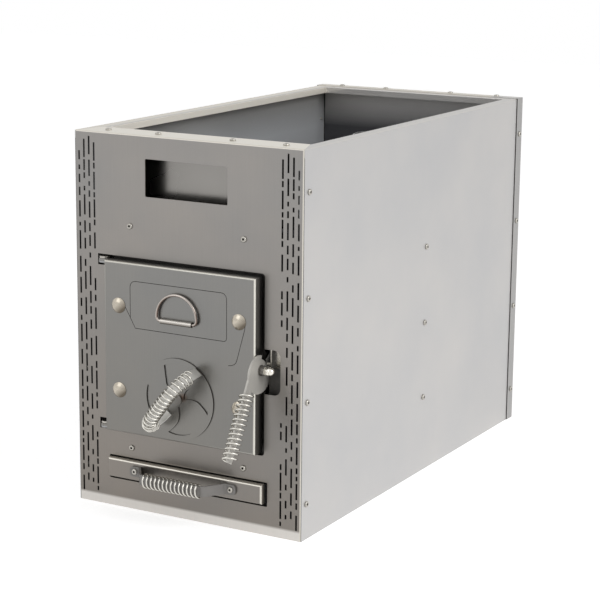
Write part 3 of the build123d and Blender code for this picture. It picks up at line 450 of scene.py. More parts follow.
dress(frontFinish, "front_panel", "drawer_front")
dress(doorFinish, "door_shell", "damper_disc")
dress(sideFinish, "right_side_panel", "left_side_panel")
dress(backFinish, "back_panel", "rear_rim_rail")
dress(metalFinishes["mirrorSheet"], "stone_guard")
dress(metalFinishes["foldedInner"], "base_tray", "base_rails", "right_side_stay", "left_side_stay", "ash_channel",
      "ash_drawer_box", "door_inner_plate", "hinge_brackets", "door_spacers")
dress(metalFinishes["fireboxSheet"], "firebox_body", "flue_collar")
dress(coatedFinish, "firebox_front_plate", "flame_baffle", "latch_keeper")
dress(castFinish, "grate")
dress(ropeSeal, "door_seal")
dress(metalFinishes["strapSheet"], "damper_handle", "drawer_handle")
dress(metalFinishes["sleeveSheet"], "ring_sleeve")
dress(metalFinishes["leverSheet"], "latch_lever")
dress(metalFinishes["darkNut"], "latch_washers", "damper_rivet")
dress(metalFinishes["brightWire"], "damper_coil", "latch_coil", "drawer_coil", "pull_ring")
dress(metalFinishes["platedHead"], "face_screws", "front_rim_screws", "rear_rim_screws", "side_front_screws",
      "side_middle_screws", "side_rear_screws", "hinge_pins", "door_bolts", "door_nuts",
      "latch_bolt", "latch_nuts", "drawer_handle_screws")
dressFaces(metalFinishes["brightWire"], "latch_keeper", isKeeperEdge)
dressFaces(burnAndShadeFinish, "back_panel", isFlangeShadowEdge)
# The disc's edges take a dark finish as painted shade.
dressFaces(discEdgeShadeFinish, "damper_disc", isDiscEdge)
print("nodes dressed")


# Detail pieces

def homePoint(x, y, z):
    return Vector((x, y, z)) / 1000


def newPiece(name, mesh, finish, body, slotName, *replaced):
    piece = bpy.data.objects.new(name, mesh)
    bpy.context.scene.collection.objects.link(piece)
    if finish is not None:
        mesh.materials.clear()
        mesh.materials.append(finish)
    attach(piece, body)
    if replaced:
        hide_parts(*replaced)
    return piece


def newNodeTree(name, inputs):
    # Geometry Nodes tree with a geometry socket at each end and the named inputs between them.
    tree = bpy.data.node_groups.new(name, "GeometryNodeTree")
    tree.is_modifier = True
    tree.interface.new_socket("Geometry", in_out="INPUT", socket_type="NodeSocketGeometry")
    keys = {}
    for label, kind in inputs:
        keys[label] = tree.interface.new_socket(label, in_out="INPUT", socket_type=kind).identifier
    tree.interface.new_socket("Geometry", in_out="OUTPUT", socket_type="NodeSocketGeometry")
    return tree, keys, addNode(tree, "NodeGroupInput"), addNode(tree, "NodeGroupOutput")


def finishTree(tree, entry, result, geometry):
    realize = addNode(tree, "GeometryNodeRealizeInstances")
    paint = addNode(tree, "GeometryNodeSetMaterial")
    tree.links.new(geometry, realize.inputs["Geometry"])
    tree.links.new(realize.outputs[0], paint.inputs["Geometry"])
    tree.links.new(entry.outputs["Finish"], paint.inputs["Material"])
    tree.links.new(paint.outputs[0], result.inputs["Geometry"])


def growMesh(name, base, tree, keys, values):
    # The tree's result on a base mesh, as a plain mesh.
    holder = bpy.data.objects.new(name + "Base", base)
    bpy.context.scene.collection.objects.link(holder)
    grower = holder.modifiers.new("grow", "NODES")
    grower.node_group = tree
    for label, value in values.items():
        grower[keys[label]] = value
    bpy.context.view_layer.update()
    mesh = bpy.data.meshes.new_from_object(holder.evaluated_get(bpy.context.evaluated_depsgraph_get()))
    mesh.name = name
    holder.modifiers.remove(grower)
    bpy.data.objects.remove(holder)
    return mesh


def lineMesh(name, points, closed=False):
    edges = [(k, k + 1) for k in range(len(points) - 1)]
    if closed:
        edges.append((len(points) - 1, 0))
    mesh = bpy.data.meshes.new(name)
    mesh.from_pydata([tuple(point) for point in points], edges, [])
    return mesh


def woundTree():
    # Wire wound round a guide line: the turns stand on the guide, square to the side direction.
    tree, keys, entry, result = newNodeTree("wound wire", [
        ("Turns", "NodeSocketFloat"), ("Points", "NodeSocketInt"), ("Coil radius", "NodeSocketFloat"),
        ("Wire radius", "NodeSocketFloat"), ("Wire sides", "NodeSocketInt"), ("Side", "NodeSocketVector"),
        ("Finish", "NodeSocketMaterial")])
    link = tree.links.new
    guide = addNode(tree, "GeometryNodeMeshToCurve")
    link(entry.outputs["Geometry"], guide.inputs["Mesh"])
    straight = addNode(tree, "GeometryNodeCurvePrimitiveLine")
    spread = addNode(tree, "GeometryNodeResampleCurve", mode="COUNT")
    link(straight.outputs[0], spread.inputs["Curve"])
    link(entry.outputs["Points"], spread.inputs["Count"])
    index = addNode(tree, "GeometryNodeInputIndex")
    last = joinMaths(tree, "SUBTRACT", entry.outputs["Points"], 1.0)
    share = joinMaths(tree, "DIVIDE", index.outputs[0], last)
    sample = addNode(tree, "GeometryNodeSampleCurve", mode="FACTOR", use_all_curves=True)
    link(guide.outputs[0], sample.inputs["Curves"])
    link(share, sample.inputs["Factor"])
    turned = joinMaths(tree, "MULTIPLY", joinMaths(tree, "MULTIPLY", share, entry.outputs["Turns"]), 2 * math.pi)
    outward = addNode(tree, "ShaderNodeVectorMath", operation="CROSS_PRODUCT")
    link(entry.outputs["Side"], outward.inputs[0])
    link(sample.outputs["Tangent"], outward.inputs[1])
    place = sample.outputs["Position"]
    for direction, wave in ((outward.outputs[0], "COSINE"), (entry.outputs["Side"], "SINE")):
        reach = joinMaths(tree, "MULTIPLY", joinMaths(tree, wave, turned), entry.outputs["Coil radius"])
        arm = addNode(tree, "ShaderNodeVectorMath", operation="SCALE")
        link(direction, arm.inputs[0])
        link(reach, arm.inputs["Scale"])
        both = addNode(tree, "ShaderNodeVectorMath", operation="ADD")
        link(place, both.inputs[0])
        link(arm.outputs[0], both.inputs[1])
        place = both.outputs[0]
    move = addNode(tree, "GeometryNodeSetPosition")
    link(spread.outputs[0], move.inputs["Geometry"])
    link(place, move.inputs["Position"])
    section = addNode(tree, "GeometryNodeCurvePrimitiveCircle", mode="RADIUS")
    link(entry.outputs["Wire sides"], section.inputs["Resolution"])
    link(entry.outputs["Wire radius"], section.inputs["Radius"])
    tube = addNode(tree, "GeometryNodeCurveToMesh")
    tube.inputs["Fill Caps"].default_value = True
    link(move.outputs[0], tube.inputs["Curve"])
    link(section.outputs[0], tube.inputs["Profile Curve"])
    finishTree(tree, entry, result, tube.outputs[0])
    return tree, keys


def barTree():
    # Round bar along a guide line.
    tree, keys, entry, result = newNodeTree("bent bar", [
        ("Bar radius", "NodeSocketFloat"), ("Bar sides", "NodeSocketInt"), ("Finish", "NodeSocketMaterial")])
    link = tree.links.new
    guide = addNode(tree, "GeometryNodeMeshToCurve")
    link(entry.outputs["Geometry"], guide.inputs["Mesh"])
    section = addNode(tree, "GeometryNodeCurvePrimitiveCircle", mode="RADIUS")
    link(entry.outputs["Bar sides"], section.inputs["Resolution"])
    link(entry.outputs["Bar radius"], section.inputs["Radius"])
    tube = addNode(tree, "GeometryNodeCurveToMesh")
    tube.inputs["Fill Caps"].default_value = True
    link(guide.outputs[0], tube.inputs["Curve"])
    link(section.outputs[0], tube.inputs["Profile Curve"])
    finishTree(tree, entry, result, tube.outputs[0])
    return tree, keys


def screwTree():
    # One screw at each point, turned to the point's outward direction and spun by a seeded amount.
    tree, keys, entry, result = newNodeTree("screw rows", [
        ("Screw", "NodeSocketObject"), ("Seed", "NodeSocketInt"), ("Finish", "NodeSocketMaterial"),
        ("Socket finish", "NodeSocketMaterial")])
    link = tree.links.new
    shape = addNode(tree, "GeometryNodeObjectInfo", transform_space="ORIGINAL")
    link(entry.outputs["Screw"], shape.inputs["Object"])
    outward = addNode(tree, "GeometryNodeInputNamedAttribute", data_type="FLOAT_VECTOR")
    outward.inputs["Name"].default_value = "outward"
    aim = addNode(tree, "FunctionNodeAlignRotationToVector", axis="Z")
    link(outward.outputs["Attribute"], aim.inputs["Vector"])
    chance = addNode(tree, "FunctionNodeRandomValue", data_type="FLOAT")
    chance.inputs["Min"].default_value = 0.0
    chance.inputs["Max"].default_value = math.pi / 3
    link(entry.outputs["Seed"], chance.inputs["Seed"])
    spin = addNode(tree, "FunctionNodeAxisAngleToRotation")
    spin.inputs["Axis"].default_value = (0, 0, 1)
    randomTurn = [s for s in chance.outputs if s.enabled][0]
    link(randomTurn, spin.inputs["Angle"])
    turn = addNode(tree, "FunctionNodeRotateRotation", rotation_space="LOCAL")
    link(aim.outputs[0], turn.inputs["Rotation"])
    link(spin.outputs[0], turn.inputs["Rotate By"])
    rows = addNode(tree, "GeometryNodeInstanceOnPoints")
    link(entry.outputs["Geometry"], rows.inputs["Points"])
    link(shape.outputs["Geometry"], rows.inputs["Instance"])
    link(turn.outputs[0], rows.inputs["Rotation"])
    finishTree(tree, entry, result, rows.outputs[0])
    # The socket faces take the dark finish as painted shade in the recess.
    whole = result.inputs["Geometry"].links[0].from_socket
    marked = addNode(tree, "GeometryNodeInputNamedAttribute", data_type="BOOLEAN")
    marked.inputs["Name"].default_value = "socket"
    darken = addNode(tree, "GeometryNodeSetMaterial")
    link(whole, darken.inputs["Geometry"])
    link(marked.outputs["Attribute"], darken.inputs["Selection"])
    link(entry.outputs["Socket finish"], darken.inputs["Material"])
    link(darken.outputs[0], result.inputs["Geometry"])
    return tree, keys


def smoothByAngle(mesh, degrees):
    for face in mesh.polygons:
        face.use_smooth = True
    mesh.set_sharp_from_angle(angle=math.radians(degrees))


def flatsApart(mesh, degrees=40):
    # Smooth bends beside true flats: a face square to the frame keeps its own normal.
    if "custom_normal" in mesh.attributes:
        mesh.attributes.remove(mesh.attributes["custom_normal"])
    mesh.set_sharp_from_angle(angle=math.radians(degrees))
    for face in mesh.polygons:
        face.use_smooth = max(abs(value) for value in face.normal) < 0.9995


def turnedMesh(name, rings, sides):
    # Rings of (radius, height, flats) round the Z axis, closed at both ends. A radius is cut to the
    # hexagon of that width over flats, or is the hexagon itself where the radius is 0.
    points, faces = [], []
    for radius, height, flats in rings:
        for k in range(sides):
            angle = 2 * math.pi * k / sides
            reach = radius
            if flats:
                edge = (angle + math.pi / 6) % (math.pi / 3) - math.pi / 6
                hexagon = flats / 2 / math.cos(edge)
                reach = min(radius, hexagon) if radius else hexagon
            points.append((reach * math.cos(angle), reach * math.sin(angle), height))
    for ring in range(len(rings) - 1):
        for k in range(sides):
            a, b = ring * sides + k, ring * sides + (k + 1) % sides
            faces.append((a, b, b + sides, a + sides))
    faces.append(tuple(reversed(range(sides))))
    faces.append(tuple(range((len(rings) - 1) * sides, len(rings) * sides)))
    mesh = bpy.data.meshes.new(name)
    mesh.from_pydata([(x / 1000, y / 1000, z / 1000) for x, y, z in points], [], faces)
    work = bmesh.new()
    work.from_mesh(mesh)
    bmesh.ops.remove_doubles(work, verts=work.verts, dist=1e-6)
    bmesh.ops.recalc_face_normals(work, faces=work.faces)
    work.to_mesh(mesh)
    work.free()
    return mesh


def joinedMesh(name, shapes):
    # Shapes are (mesh, matrix, finish number), joined to one mesh.
    work = bmesh.new()
    for mesh, matrix, number in shapes:
        part = mesh.copy()
        part.transform(matrix)
        for face in part.polygons:
            face.material_index = number
        work.from_mesh(part)
        bpy.data.meshes.remove(part)
    joined = bpy.data.meshes.new(name)
    work.to_mesh(joined)
    work.free()
    return joined


def aimed(place, outward):
    turn = Vector(outward).to_track_quat("Z", "Y").to_matrix().to_4x4()
    return Matrix.Translation(homePoint(*place)) @ turn


# Wire wound on the three handles

wireCoils = {
    "wireRadius": 0.00138,
    "coilRadius": 0.01009,
    "pointsPerTurn": 28,
    "wireSides": 12,
}
damperBow = {
    "middle": (-2.0, -417.0, 195.0),
    "turn": 52.0,              # degrees from level
    "span": 61.0,
    "rise": 46.0,
    "fullness": 4.0,           # 2 is a plain arc, more is squarer
    "lean": 36.0,              # the lower leg runs back towards the pivot
    "width": 16.0,
    "thickness": 3.0,
    "coilStart": -0.89,
    "coilEnd": 0.90,
    "turns": 20,
}
latchGrip = {"start": (133.5, -440.8, 228.1), "along": (0, -49.0, -87.0), "length": 102.0, "turns": 14}
drawerGrip = {"start": (-50.4, -438.0, 66.0), "along": (1, 0, 0), "length": 100.8, "turns": 14}

woundWire, woundKeys = woundTree()
brightWire = metalFinishes["brightWire"]


def makeCoil(name, guide, side, turns, body, *replaced):
    values = {"Turns": float(turns), "Points": turns * wireCoils["pointsPerTurn"] + 1,
              "Coil radius": wireCoils["coilRadius"], "Wire radius": wireCoils["wireRadius"],
              "Wire sides": wireCoils["wireSides"], "Side": tuple(side), "Finish": brightWire}
    mesh = growMesh(name, lineMesh(name + "Guide", guide), woundWire, woundKeys, values)
    smoothByAngle(mesh, 50)
    return newPiece(name, mesh, brightWire, body, "wire_steel", *replaced)


def bowFrame():
    turn = math.radians(damperBow["turn"])
    return Vector((math.cos(turn), 0, math.sin(turn))), Vector((0, -1, 0))


def bowPoint(share, lift=0.0):
    along, out = bowFrame()
    height = damperBow["rise"] * (1 - abs(share) ** damperBow["fullness"]) + damperBow["thickness"] / 2 + lift
    reach = share * damperBow["span"]
    if share < 0:
        reach += damperBow["lean"] * abs(share) ** 12
    return homePoint(*damperBow["middle"]) + along * (reach / 1000) + out * (height / 1000)


def bowShares(first, last, count):
    # Steps that close up towards the feet, where the strap turns most.
    a, b = math.asin(first), math.asin(last)
    return [math.sin(a + (b - a) * k / (count - 1)) for k in range(count)]


def makeDamperStrap():
    along, out = bowFrame()
    side = along.cross(out)
    shares = bowShares(-1.0, 1.0, 61)
    half = damperBow["width"] / 2000
    thick = damperBow["thickness"] / 2000
    bevel = 0.0005
    section = [(half - bevel, thick), (half, thick - bevel), (half, bevel - thick), (half - bevel, -thick),
               (bevel - half, -thick), (-half, bevel - thick), (-half, thick - bevel), (bevel - half, thick)]
    points, faces = [], []
    for k, share in enumerate(shares):
        before = bowPoint(shares[max(k - 1, 0)])
        after = bowPoint(shares[min(k + 1, len(shares) - 1)])
        ahead = (after - before).normalized()
        outward = side.cross(ahead).normalized()
        if outward.dot(out) < 0 and 0 < k < len(shares) - 1:
            outward = -outward
        spot = bowPoint(share)
        for across, up in section:
            point = spot + side * across + outward * up
            point.y = min(point.y, homePoint(*damperBow["middle"]).y - 0.00005)
            points.append(point)
    count = len(section)
    for k in range(len(shares) - 1):
        for c in range(count):
            a, b = k * count + c, k * count + (c + 1) % count
            faces.append((a, b, b + count, a + count))
    faces.append(tuple(reversed(range(count))))
    faces.append(tuple(range((len(shares) - 1) * count, len(shares) * count)))
    mesh = bpy.data.meshes.new("damperStrap")
    mesh.from_pydata([tuple(p) for p in points], [], faces)
    work = bmesh.new()
    work.from_mesh(mesh)
    bmesh.ops.recalc_face_normals(work, faces=work.faces)
    work.to_mesh(mesh)
    work.free()
    smoothByAngle(mesh, 40)
    newPiece("damperStrap", mesh, metalFinishes["paleStrap"], "damper", "strap_steel", "damper_handle")


makeDamperStrap()
bowAlong, bowOut = bowFrame()
bowGuide = [bowPoint(share) for share in bowShares(damperBow["coilStart"], damperBow["coilEnd"], 80)]
makeCoil("damperWire", bowGuide, bowAlong.cross(bowOut), damperBow["turns"], "damper", "damper_coil")
for name, grip, side, body, node in (("latchWire", latchGrip, (1, 0, 0), "latch", "latch_coil"),
                                     ("drawerWire", drawerGrip, (0, 1, 0), "ash_drawer", "drawer_coil")):
    begin = homePoint(*grip["start"])
    ahead = Vector(grip["along"]).normalized()
    guide = [begin + ahead * (grip["length"] / 1000 * k / 8) for k in range(9)]
    makeCoil(name, guide, side, grip["turns"], body, node)
print("coils wound")


# Screws

buttonScrew = {
    "head": 4.75, "height": 2.6, "socket": 3.6, "socketDepth": 1.5,
    "shank": 2.5, "length": 10.0, "pitch": 0.8, "thread": 0.28,
    "sides": 24,
}


def buttonScrewMesh(name, length):
    screw = buttonScrew
    rings = [(screw["shank"] - 0.6, -length, 0)]
    turns = int((length - 1.2) / screw["pitch"])
    for k in range(turns):
        low = -length + 0.4 + k * screw["pitch"]
        rings += [(screw["shank"] - screw["thread"], low, 0), (screw["shank"], low + screw["pitch"] / 2, 0)]
    rings += [(screw["shank"] - 0.1, -0.6, 0), (screw["shank"] - 0.1, 0.02, 0), (screw["head"] - 0.25, 0.02, 0),
              (screw["head"], 0.3, 0), (screw["head"], 0.7, 0)]
    top = screw["height"]
    flat = screw["socket"] / 2 + 0.75
    for k in range(1, 7):
        turn = math.pi / 2 * k / 6
        rings.append((flat + (screw["head"] - flat) * math.cos(turn), 0.7 + (top - 0.7) * math.sin(turn), 0))
    rings += [(screw["socket"] / 2 + 0.45, top, 0), (0, top - 0.25, screw["socket"]),
              (0, top - screw["socketDepth"], screw["socket"]), (0.3, top - screw["socketDepth"] - 0.35, 0)]
    mesh = turnedMesh(name, rings, screw["sides"])
    marks = mesh.attributes.new("socket", "BOOLEAN", "FACE")
    for face in mesh.polygons:
        reach = math.hypot(face.center.x, face.center.y) * 1000
        marks.data[face.index].value = reach < screw["socket"] / 2 + 0.2 and 0.3 < face.center.z * 1000 < top - 0.05
    return mesh


screwRows, screwKeys = screwTree()
screwShape = bpy.data.objects.new("buttonScrew", buttonScrewMesh("buttonScrew", buttonScrew["length"]))
gripScrewShape = bpy.data.objects.new("gripScrew", buttonScrewMesh("gripScrew", 8.0))
rearScrewShape = bpy.data.objects.new("rearScrew", buttonScrewMesh("rearScrew", 4.0))
screwShapes = {"drawerGripScrews": gripScrewShape, "sideRearScrews": rearScrewShape}

screwPlaces = {
    "faceScrews": ([((x, -395.0, z), (0, -1, 0)) for x in (-100, 100) for z in (98.5, 446)], "stove", "face_screws"),
    "frontRimScrews": ([((x, -369.0, 585.0), (0, 0, 1)) for x in (-155, -65, 65, 155)], "stove", "front_rim_screws"),
    "rearRimScrews": ([((x, 383.0, 586.2), (0, 0, 1)) for x in (-155, -65, 65, 155)], "stove", "rear_rim_screws"),
    "sideFrontScrews": ([((200.0 * s, -380.0, 55 + 155.7 * k), (s, 0, 0)) for s in (-1, 1) for k in range(4)],
                        "stove", "side_front_screws"),
    "sideMiddleScrews": ([((200.0 * s, 14.0, 126.3 * k), (s, 0, 0)) for s in (-1, 1) for k in (1, 2, 3)],
                         "stove", "side_middle_screws"),
    "sideRearScrews": ([((201.2 * s, 383.0, 55 + 155.7 * k), (s, 0, 0)) for s in (-1, 1) for k in range(4)],
                       "stove", "side_rear_screws"),
    "drawerGripScrews": ([((x, -409.0, 66.0), (0, -1, 0)) for x in (-86, 86)], "ash_drawer",
                         "drawer_handle_screws"),
}
for seed, (name, (places, body, node)) in enumerate(screwPlaces.items()):
    base = bpy.data.meshes.new(name + "Points")
    base.from_pydata([tuple(homePoint(*place)) for place, _ in places], [], [])
    outwards = base.attributes.new("outward", "FLOAT_VECTOR", "POINT")
    for k, (_, outward) in enumerate(places):
        outwards.data[k].vector = outward
    shape = screwShapes.get(name, screwShape)
    head = metalFinishes["platedHead"]
    mesh = growMesh(name, base, screwRows, screwKeys,
                    {"Screw": shape, "Seed": seed, "Finish": head, "Socket finish": burnAndShadeFinish})
    for label in ("outward", "socket"):
        if label in mesh.attributes:
            mesh.attributes.remove(mesh.attributes[label])
    smoothByAngle(mesh, 35)
    newPiece(name, mesh, None, body, "fastener_steel", node)
print("screws set")


# Bolts and nuts

carriageBolt = {
    "head": 12.0, "height": 4.6, "edge": 0.6, "shank": 4.0, "sides": 48,
    "centre": (-2.0, -415.0, 260.75), "spread": (106.0, 66.0),
}
pivotStack = {
    "x": 131.0, "y": -404.5, "z": 256.0, "flats": 13.0, "washer": 1.0, "lever": 3.0,
    "outerWasher": 1.6, "jam": 6.5, "shoulder": 7.5, "cap": 15.0,
}


def domeRings(radius, base, top, steps=8, flats=0):
    rise = top - base
    return [(radius * math.cos(math.pi / 2 * k / steps), base + rise * math.sin(math.pi / 2 * k / steps), flats)
            for k in range(steps)] + [(0.05, top, 0)]


def makeCarriageHeads():
    bolt = carriageBolt
    sphere = (bolt["head"] ** 2 + (bolt["height"] - bolt["edge"]) ** 2) / (2 * (bolt["height"] - bolt["edge"]))
    rings = [(bolt["head"] - 0.3, 0.02, 0), (bolt["head"], 0.25, 0)]
    start = math.asin(bolt["head"] / sphere)
    for k in range(9):
        angle = start * (1 - k / 9)
        rings.append((sphere * math.sin(angle), bolt["height"] - sphere * (1 - math.cos(angle)), 0))
    rings.append((0.05, bolt["height"], 0))
    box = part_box("door_bolts")
    x, y, z = bolt["centre"]
    across, up = bolt["spread"]
    tail = y - box[1][1] * 1000
    rings = [(bolt["shank"] - 0.5, tail, 0), (bolt["shank"], tail + 0.5, 0), (bolt["shank"], 0.02, 0)] + rings
    head = turnedMesh("carriageBolt", rings, bolt["sides"])
    places = [(x + sx * across, y, z + sz * up) for sx in (-1, 1) for sz in (-1, 1)]
    mesh = joinedMesh("carriageBolts", [(head, aimed(place, (0, -1, 0)), 0) for place in places])
    smoothByAngle(mesh, 35)
    newPiece("carriageBolts", mesh, metalFinishes["domedHead"], "door", "fastener_steel", "door_bolts")


def makePivotNuts():
    stack = pivotStack
    sides = 48
    jamX = stack["x"] + stack["washer"] + stack["lever"] + stack["outerWasher"]
    flats = stack["flats"]
    corner = flats / 2 / math.cos(math.pi / 6)
    hexRings = [(flats / 2 - 0.1, 0.0, 0), (flats / 2 + 0.15, 0.0, flats), (corner, 0.75, flats)]
    jamRings = hexRings + [(corner, stack["jam"] - 0.75, flats), (flats / 2 + 0.15, stack["jam"], flats),
                           (flats / 2 - 0.1, stack["jam"], 0)]
    shoulder = stack["shoulder"]
    capRings = hexRings + [(corner, shoulder - 0.8, flats), (flats / 2, shoulder, 0)]
    capRings += domeRings(flats / 2 - 0.35, shoulder + 0.4, stack["cap"])
    capX = jamX + stack["jam"]
    shapes = [(turnedMesh("jamNut", jamRings, sides), aimed((jamX, stack["y"], stack["z"]), (1, 0, 0)), 0),
              (turnedMesh("capNut", capRings, sides), aimed((capX, stack["y"], stack["z"]), (1, 0, 0)), 1)]
    mesh = joinedMesh("pivotNuts", shapes)
    smoothByAngle(mesh, 35)
    mesh.materials.append(metalFinishes["darkNut"])
    mesh.materials.append(metalFinishes["brightCap"])
    newPiece("pivotNuts", mesh, None, "door", "fastener_steel", "latch_nuts")


makeCarriageHeads()
makePivotNuts()
print("bolts and nuts made")


# Pull ring

pullRing = {"width": 74.0, "height": 44.0, "bar": 2.1, "corner": 6.5, "x": -2.0, "y": -419.0, "z": 313.0, "sides": 20}


def pullRingPath():
    half = pullRing["width"] / 2 - pullRing["bar"]
    leg = pullRing["height"] - pullRing["bar"] - half
    corner = pullRing["corner"]
    path = [(half * math.cos(math.pi * k / 40), leg + half * math.sin(math.pi * k / 40)) for k in range(41)]
    for centre, first in (((corner - half, corner), 180), ((half - corner, corner), 270)):
        for k in range(9):
            angle = math.radians(first + 90 * k / 8)
            path.append((centre[0] + corner * math.cos(angle), centre[1] + corner * math.sin(angle)))
    return [homePoint(pullRing["x"] + x, pullRing["y"], pullRing["z"] + z) for x, z in path]


bentBar, barKeys = barTree()
ringGuide = lineMesh("pullRingGuide", pullRingPath(), closed=True)
ringMesh = growMesh("pullRing", ringGuide, bentBar, barKeys,
                    {"Bar radius": pullRing["bar"] / 1000, "Bar sides": pullRing["sides"],
                     "Finish": metalFinishes["ringBar"]})
smoothByAngle(ringMesh, 50)
newPiece("pullRing", ringMesh, metalFinishes["ringBar"], "pull_ring", "wire_steel", "pull_ring")
print("ring bent")


# Lines cut into the door

doorLines = {
    "discReach": 0.075,        # metres round the damper's pivot, within which cut edges are painted dark as painted shade
    "width": 0.9,
    "depth": 0.5,
    "clear": 0.6,              # how far the cutter stands out of the face
    "face": -415.0,
    "plate": [(-78, 295), (-87, 310.5), (-87, 358), (-85.8, 362.5), (-82.5, 365.8), (-78, 367), (74, 367),
              (78.5, 365.8), (81.8, 362.5), (83, 358), (83, 299), (81.7, 295.8), (78.5, 294.5), (-78, 295)],
    "leftSlant": [(-96.5, 326.5), (-87, 310.5)],
    "lower": [(115, 325), (114, 317), (100.5, 268), (99, 264.5), (96, 261.5), (91, 259.6), (86, 259)],
}


def groovePrism(points):
    # A closed box along a line, mitred at its corners, through the door's front face.
    half = doorLines["width"] / 2
    low, high = doorLines["face"] - doorLines["clear"], doorLines["face"] + doorLines["depth"]
    left, right = [], []
    closed = points[0] == points[-1]
    line = points[:-1] if closed else points
    count = len(line)
    for k, (x, z) in enumerate(line):
        previous = line[k - 1] if closed or k else None
        following = line[(k + 1) % count] if closed or k < count - 1 else None
        ways = []
        if previous:
            ways.append(Vector((x - previous[0], z - previous[1])).normalized())
        if following:
            ways.append(Vector((following[0] - x, following[1] - z)).normalized())
        normals = [Vector((-way.y, way.x)) for way in ways]
        middle = (normals[0] + normals[-1]).normalized()
        reach = half / max(middle.dot(normals[0]), 0.3)
        left.append((x + middle.x * reach, z + middle.y * reach))
        right.append((x - middle.x * reach, z - middle.y * reach))
    work = bmesh.new()
    rings = []
    for (ax, az), (bx, bz) in zip(left, right):
        corners = [(ax, low, az), (bx, low, bz), (bx, high, bz), (ax, high, az)]
        rings.append([work.verts.new(homePoint(*corner)) for corner in corners])
    pairs = list(zip(rings, rings[1:]))
    if closed:
        pairs.append((rings[-1], rings[0]))
    for a, b in pairs:
        for c in range(4):
            work.faces.new((a[c], a[(c + 1) % 4], b[(c + 1) % 4], b[c]))
    if not closed:
        work.faces.new(rings[0])
        work.faces.new(rings[-1])
    bmesh.ops.recalc_face_normals(work, faces=work.faces)
    mesh = bpy.data.meshes.new("groove")
    work.to_mesh(mesh)
    work.free()
    # The grooves take the dark finish: burnt line with painted shade inside.
    mesh.materials.append(burnAndShadeFinish)
    return mesh


def makeDoorShell():
    # The door pan with its lines cut in, from a merged copy of the solid's mesh.
    work = bmesh.new()
    work.from_mesh(nodes["door_shell"].data)
    bmesh.ops.remove_doubles(work, verts=work.verts, dist=1e-6)
    mesh = bpy.data.meshes.new("doorPan")
    work.to_mesh(mesh)
    work.free()
    mesh.materials.append(doorFinish)
    mesh.materials.append(burnAndShadeFinish)
    pan = bpy.data.objects.new("doorPanBase", mesh)
    bpy.context.scene.collection.objects.link(pan)
    cutters = []
    for name in ("plate", "leftSlant", "lower"):
        cutter = bpy.data.objects.new("groove", groovePrism(doorLines[name]))
        bpy.context.scene.collection.objects.link(cutter)
        cut = pan.modifiers.new("cut", "BOOLEAN")
        cut.operation = "DIFFERENCE"
        cut.solver = "EXACT"
        cut.material_mode = "TRANSFER"
        cut.object = cutter
        cutters.append(cutter)
    bpy.context.view_layer.update()
    cutMesh = bpy.data.meshes.new_from_object(pan.evaluated_get(bpy.context.evaluated_depsgraph_get()))
    for piece in cutters + [pan]:
        bpy.data.objects.remove(piece)
    cutMesh.name = "doorPan"
    cutMesh.materials.append(discEdgeShadeFinish)
    # Cut edges round the pivot take the disc edge finish as painted shade.
    pivot = homePoint(*damperBow["middle"])
    for face in cutMesh.polygons:
        reach = math.hypot(face.center.x - pivot.x, face.center.z - pivot.z)
        if reach < doorLines["discReach"] and isDiscEdge(face):
            face.material_index = 2
    flatsApart(cutMesh)
    print("door pan:", len(cutMesh.polygons), "faces,", [m.name for m in cutMesh.materials])
    newPiece("doorPan", cutMesh, None, "door", "front_steel", "door_shell")


makeDoorShell()
print("door lines cut")


# Studio

studio = {
    "floorSize": 14.0,
    "floorShade": 0.80,
    "floorGlow": 0.62,         # what the floor adds of its own to the camera, so that it stays near white
    "worldLight": 0.42,
    "lampTarget": (0, 0, 0.3),
}
lamps = {
    "keyLamp": {"power": 60.0, "size": (2.4, 2.0), "place": (3.4, -0.6, 2.4)},
    "fillLamp": {"power": 18.0, "size": (2.5, 2.0), "place": (-2.0, -3.6, 2.4)},
}


def rayShare(tree):
    path = addNode(tree, "ShaderNodeLightPath")
    seen = joinMaths(tree, "MAXIMUM", path.outputs["Is Camera Ray"], path.outputs["Is Glossy Ray"])
    return joinMaths(tree, "MAXIMUM", seen, path.outputs["Is Transmission Ray"])


def makeFloor():
    half = studio["floorSize"] / 2
    mesh = bpy.data.meshes.new("studioFloor")
    mesh.from_pydata([(-half, -half, 0), (half, -half, 0), (half, half, 0), (-half, half, 0)], [], [(0, 1, 2, 3)])
    floor = bpy.data.objects.new("studioFloor", mesh)
    bpy.context.scene.collection.objects.link(floor)
    finish, tree, shader = newFinish("pale floor")
    shader.inputs["Base Color"].default_value = (studio["floorShade"],) * 3 + (1,)
    shader.inputs["Roughness"].default_value = 0.9
    glow = addNode(tree, "ShaderNodeEmission")
    tree.links.new(joinMaths(tree, "MULTIPLY", rayShare(tree), studio["floorGlow"]), glow.inputs["Strength"])
    both = addNode(tree, "ShaderNodeAddShader")
    tree.links.new(shader.outputs[0], both.inputs[0])
    tree.links.new(glow.outputs[0], both.inputs[1])
    tree.links.new(both.outputs[0], tree.nodes["Material Output"].inputs["Surface"])
    mesh.materials.append(finish)


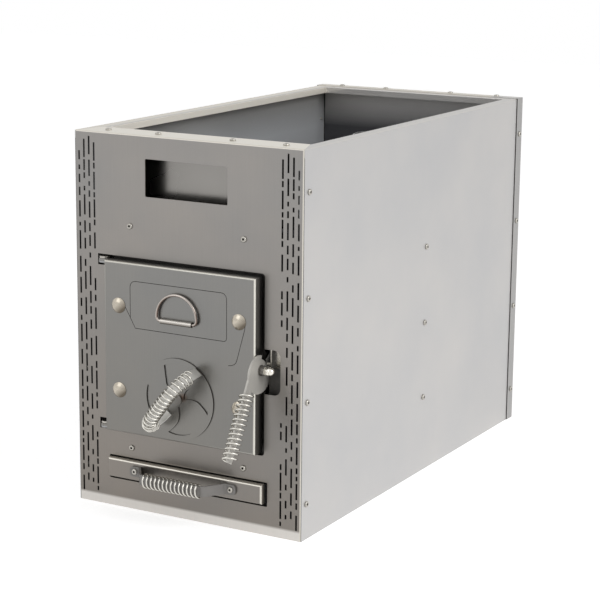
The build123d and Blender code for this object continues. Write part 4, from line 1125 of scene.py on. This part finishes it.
def makeWorld():
    world = bpy.data.worlds.new("studio")
    bpy.context.scene.world = world
    world.use_nodes = True
    tree = world.node_tree
    light = tree.nodes["Background"]
    light.inputs["Color"].default_value = (1, 1, 1, 1)
    share = rayShare(tree)
    strength = addNode(tree, "ShaderNodeMix", data_type="FLOAT")
    tree.links.new(share, strength.inputs["Factor"])
    strength.inputs[2].default_value = studio["worldLight"]
    strength.inputs[3].default_value = 1.0
    tree.links.new(strength.outputs[0], light.inputs["Strength"])


def makeLamp(name, power, size, place):
    lamp = bpy.data.lights.new(name, "AREA")
    lamp.energy = power
    lamp.shape = "RECTANGLE"
    lamp.size, lamp.size_y = size
    holder = bpy.data.objects.new(name, lamp)
    holder.location = place
    aim = Vector(studio["lampTarget"]) - Vector(place)
    holder.rotation_euler = aim.to_track_quat("-Z", "Y").to_euler()
    bpy.context.scene.collection.objects.link(holder)


makeFloor()
makeWorld()
for name, lamp in lamps.items():
    makeLamp(name, lamp["power"], lamp["size"], lamp["place"])
print("studio ready")


# Camera

cameraFit = {
    "lens": 113.065,           # millimetres on a 36 mm sensor
    "place": (1.4859, -2.7053, 0.9529),
    "azimuth": 29.205,
    "elevation": 12.49,
    "roll": 0.57,
}


def makeCamera():
    camera = bpy.data.cameras.new("camera")
    camera.lens = cameraFit["lens"]
    camera.sensor_width = 36.0
    camera.clip_start = 0.05
    holder = bpy.data.objects.new("camera", camera)
    azimuth = math.radians(cameraFit["azimuth"])
    elevation = math.radians(cameraFit["elevation"])
    roll = math.radians(cameraFit["roll"])
    ahead = Vector((-math.sin(azimuth) * math.cos(elevation), math.cos(azimuth) * math.cos(elevation),
                    -math.sin(elevation)))
    right = Vector((math.cos(azimuth), math.sin(azimuth), 0))
    up = right.cross(ahead)
    rolledRight = right * math.cos(roll) + up * math.sin(roll)
    rolledUp = up * math.cos(roll) - right * math.sin(roll)
    turn = Matrix((rolledRight, rolledUp, -ahead)).transposed()
    holder.matrix_world = Matrix.Translation(cameraFit["place"]) @ turn.to_4x4()
    bpy.context.scene.collection.objects.link(holder)
    bpy.context.scene.camera = holder


makeCamera()
bpy.context.scene.view_settings.view_transform = "Standard"
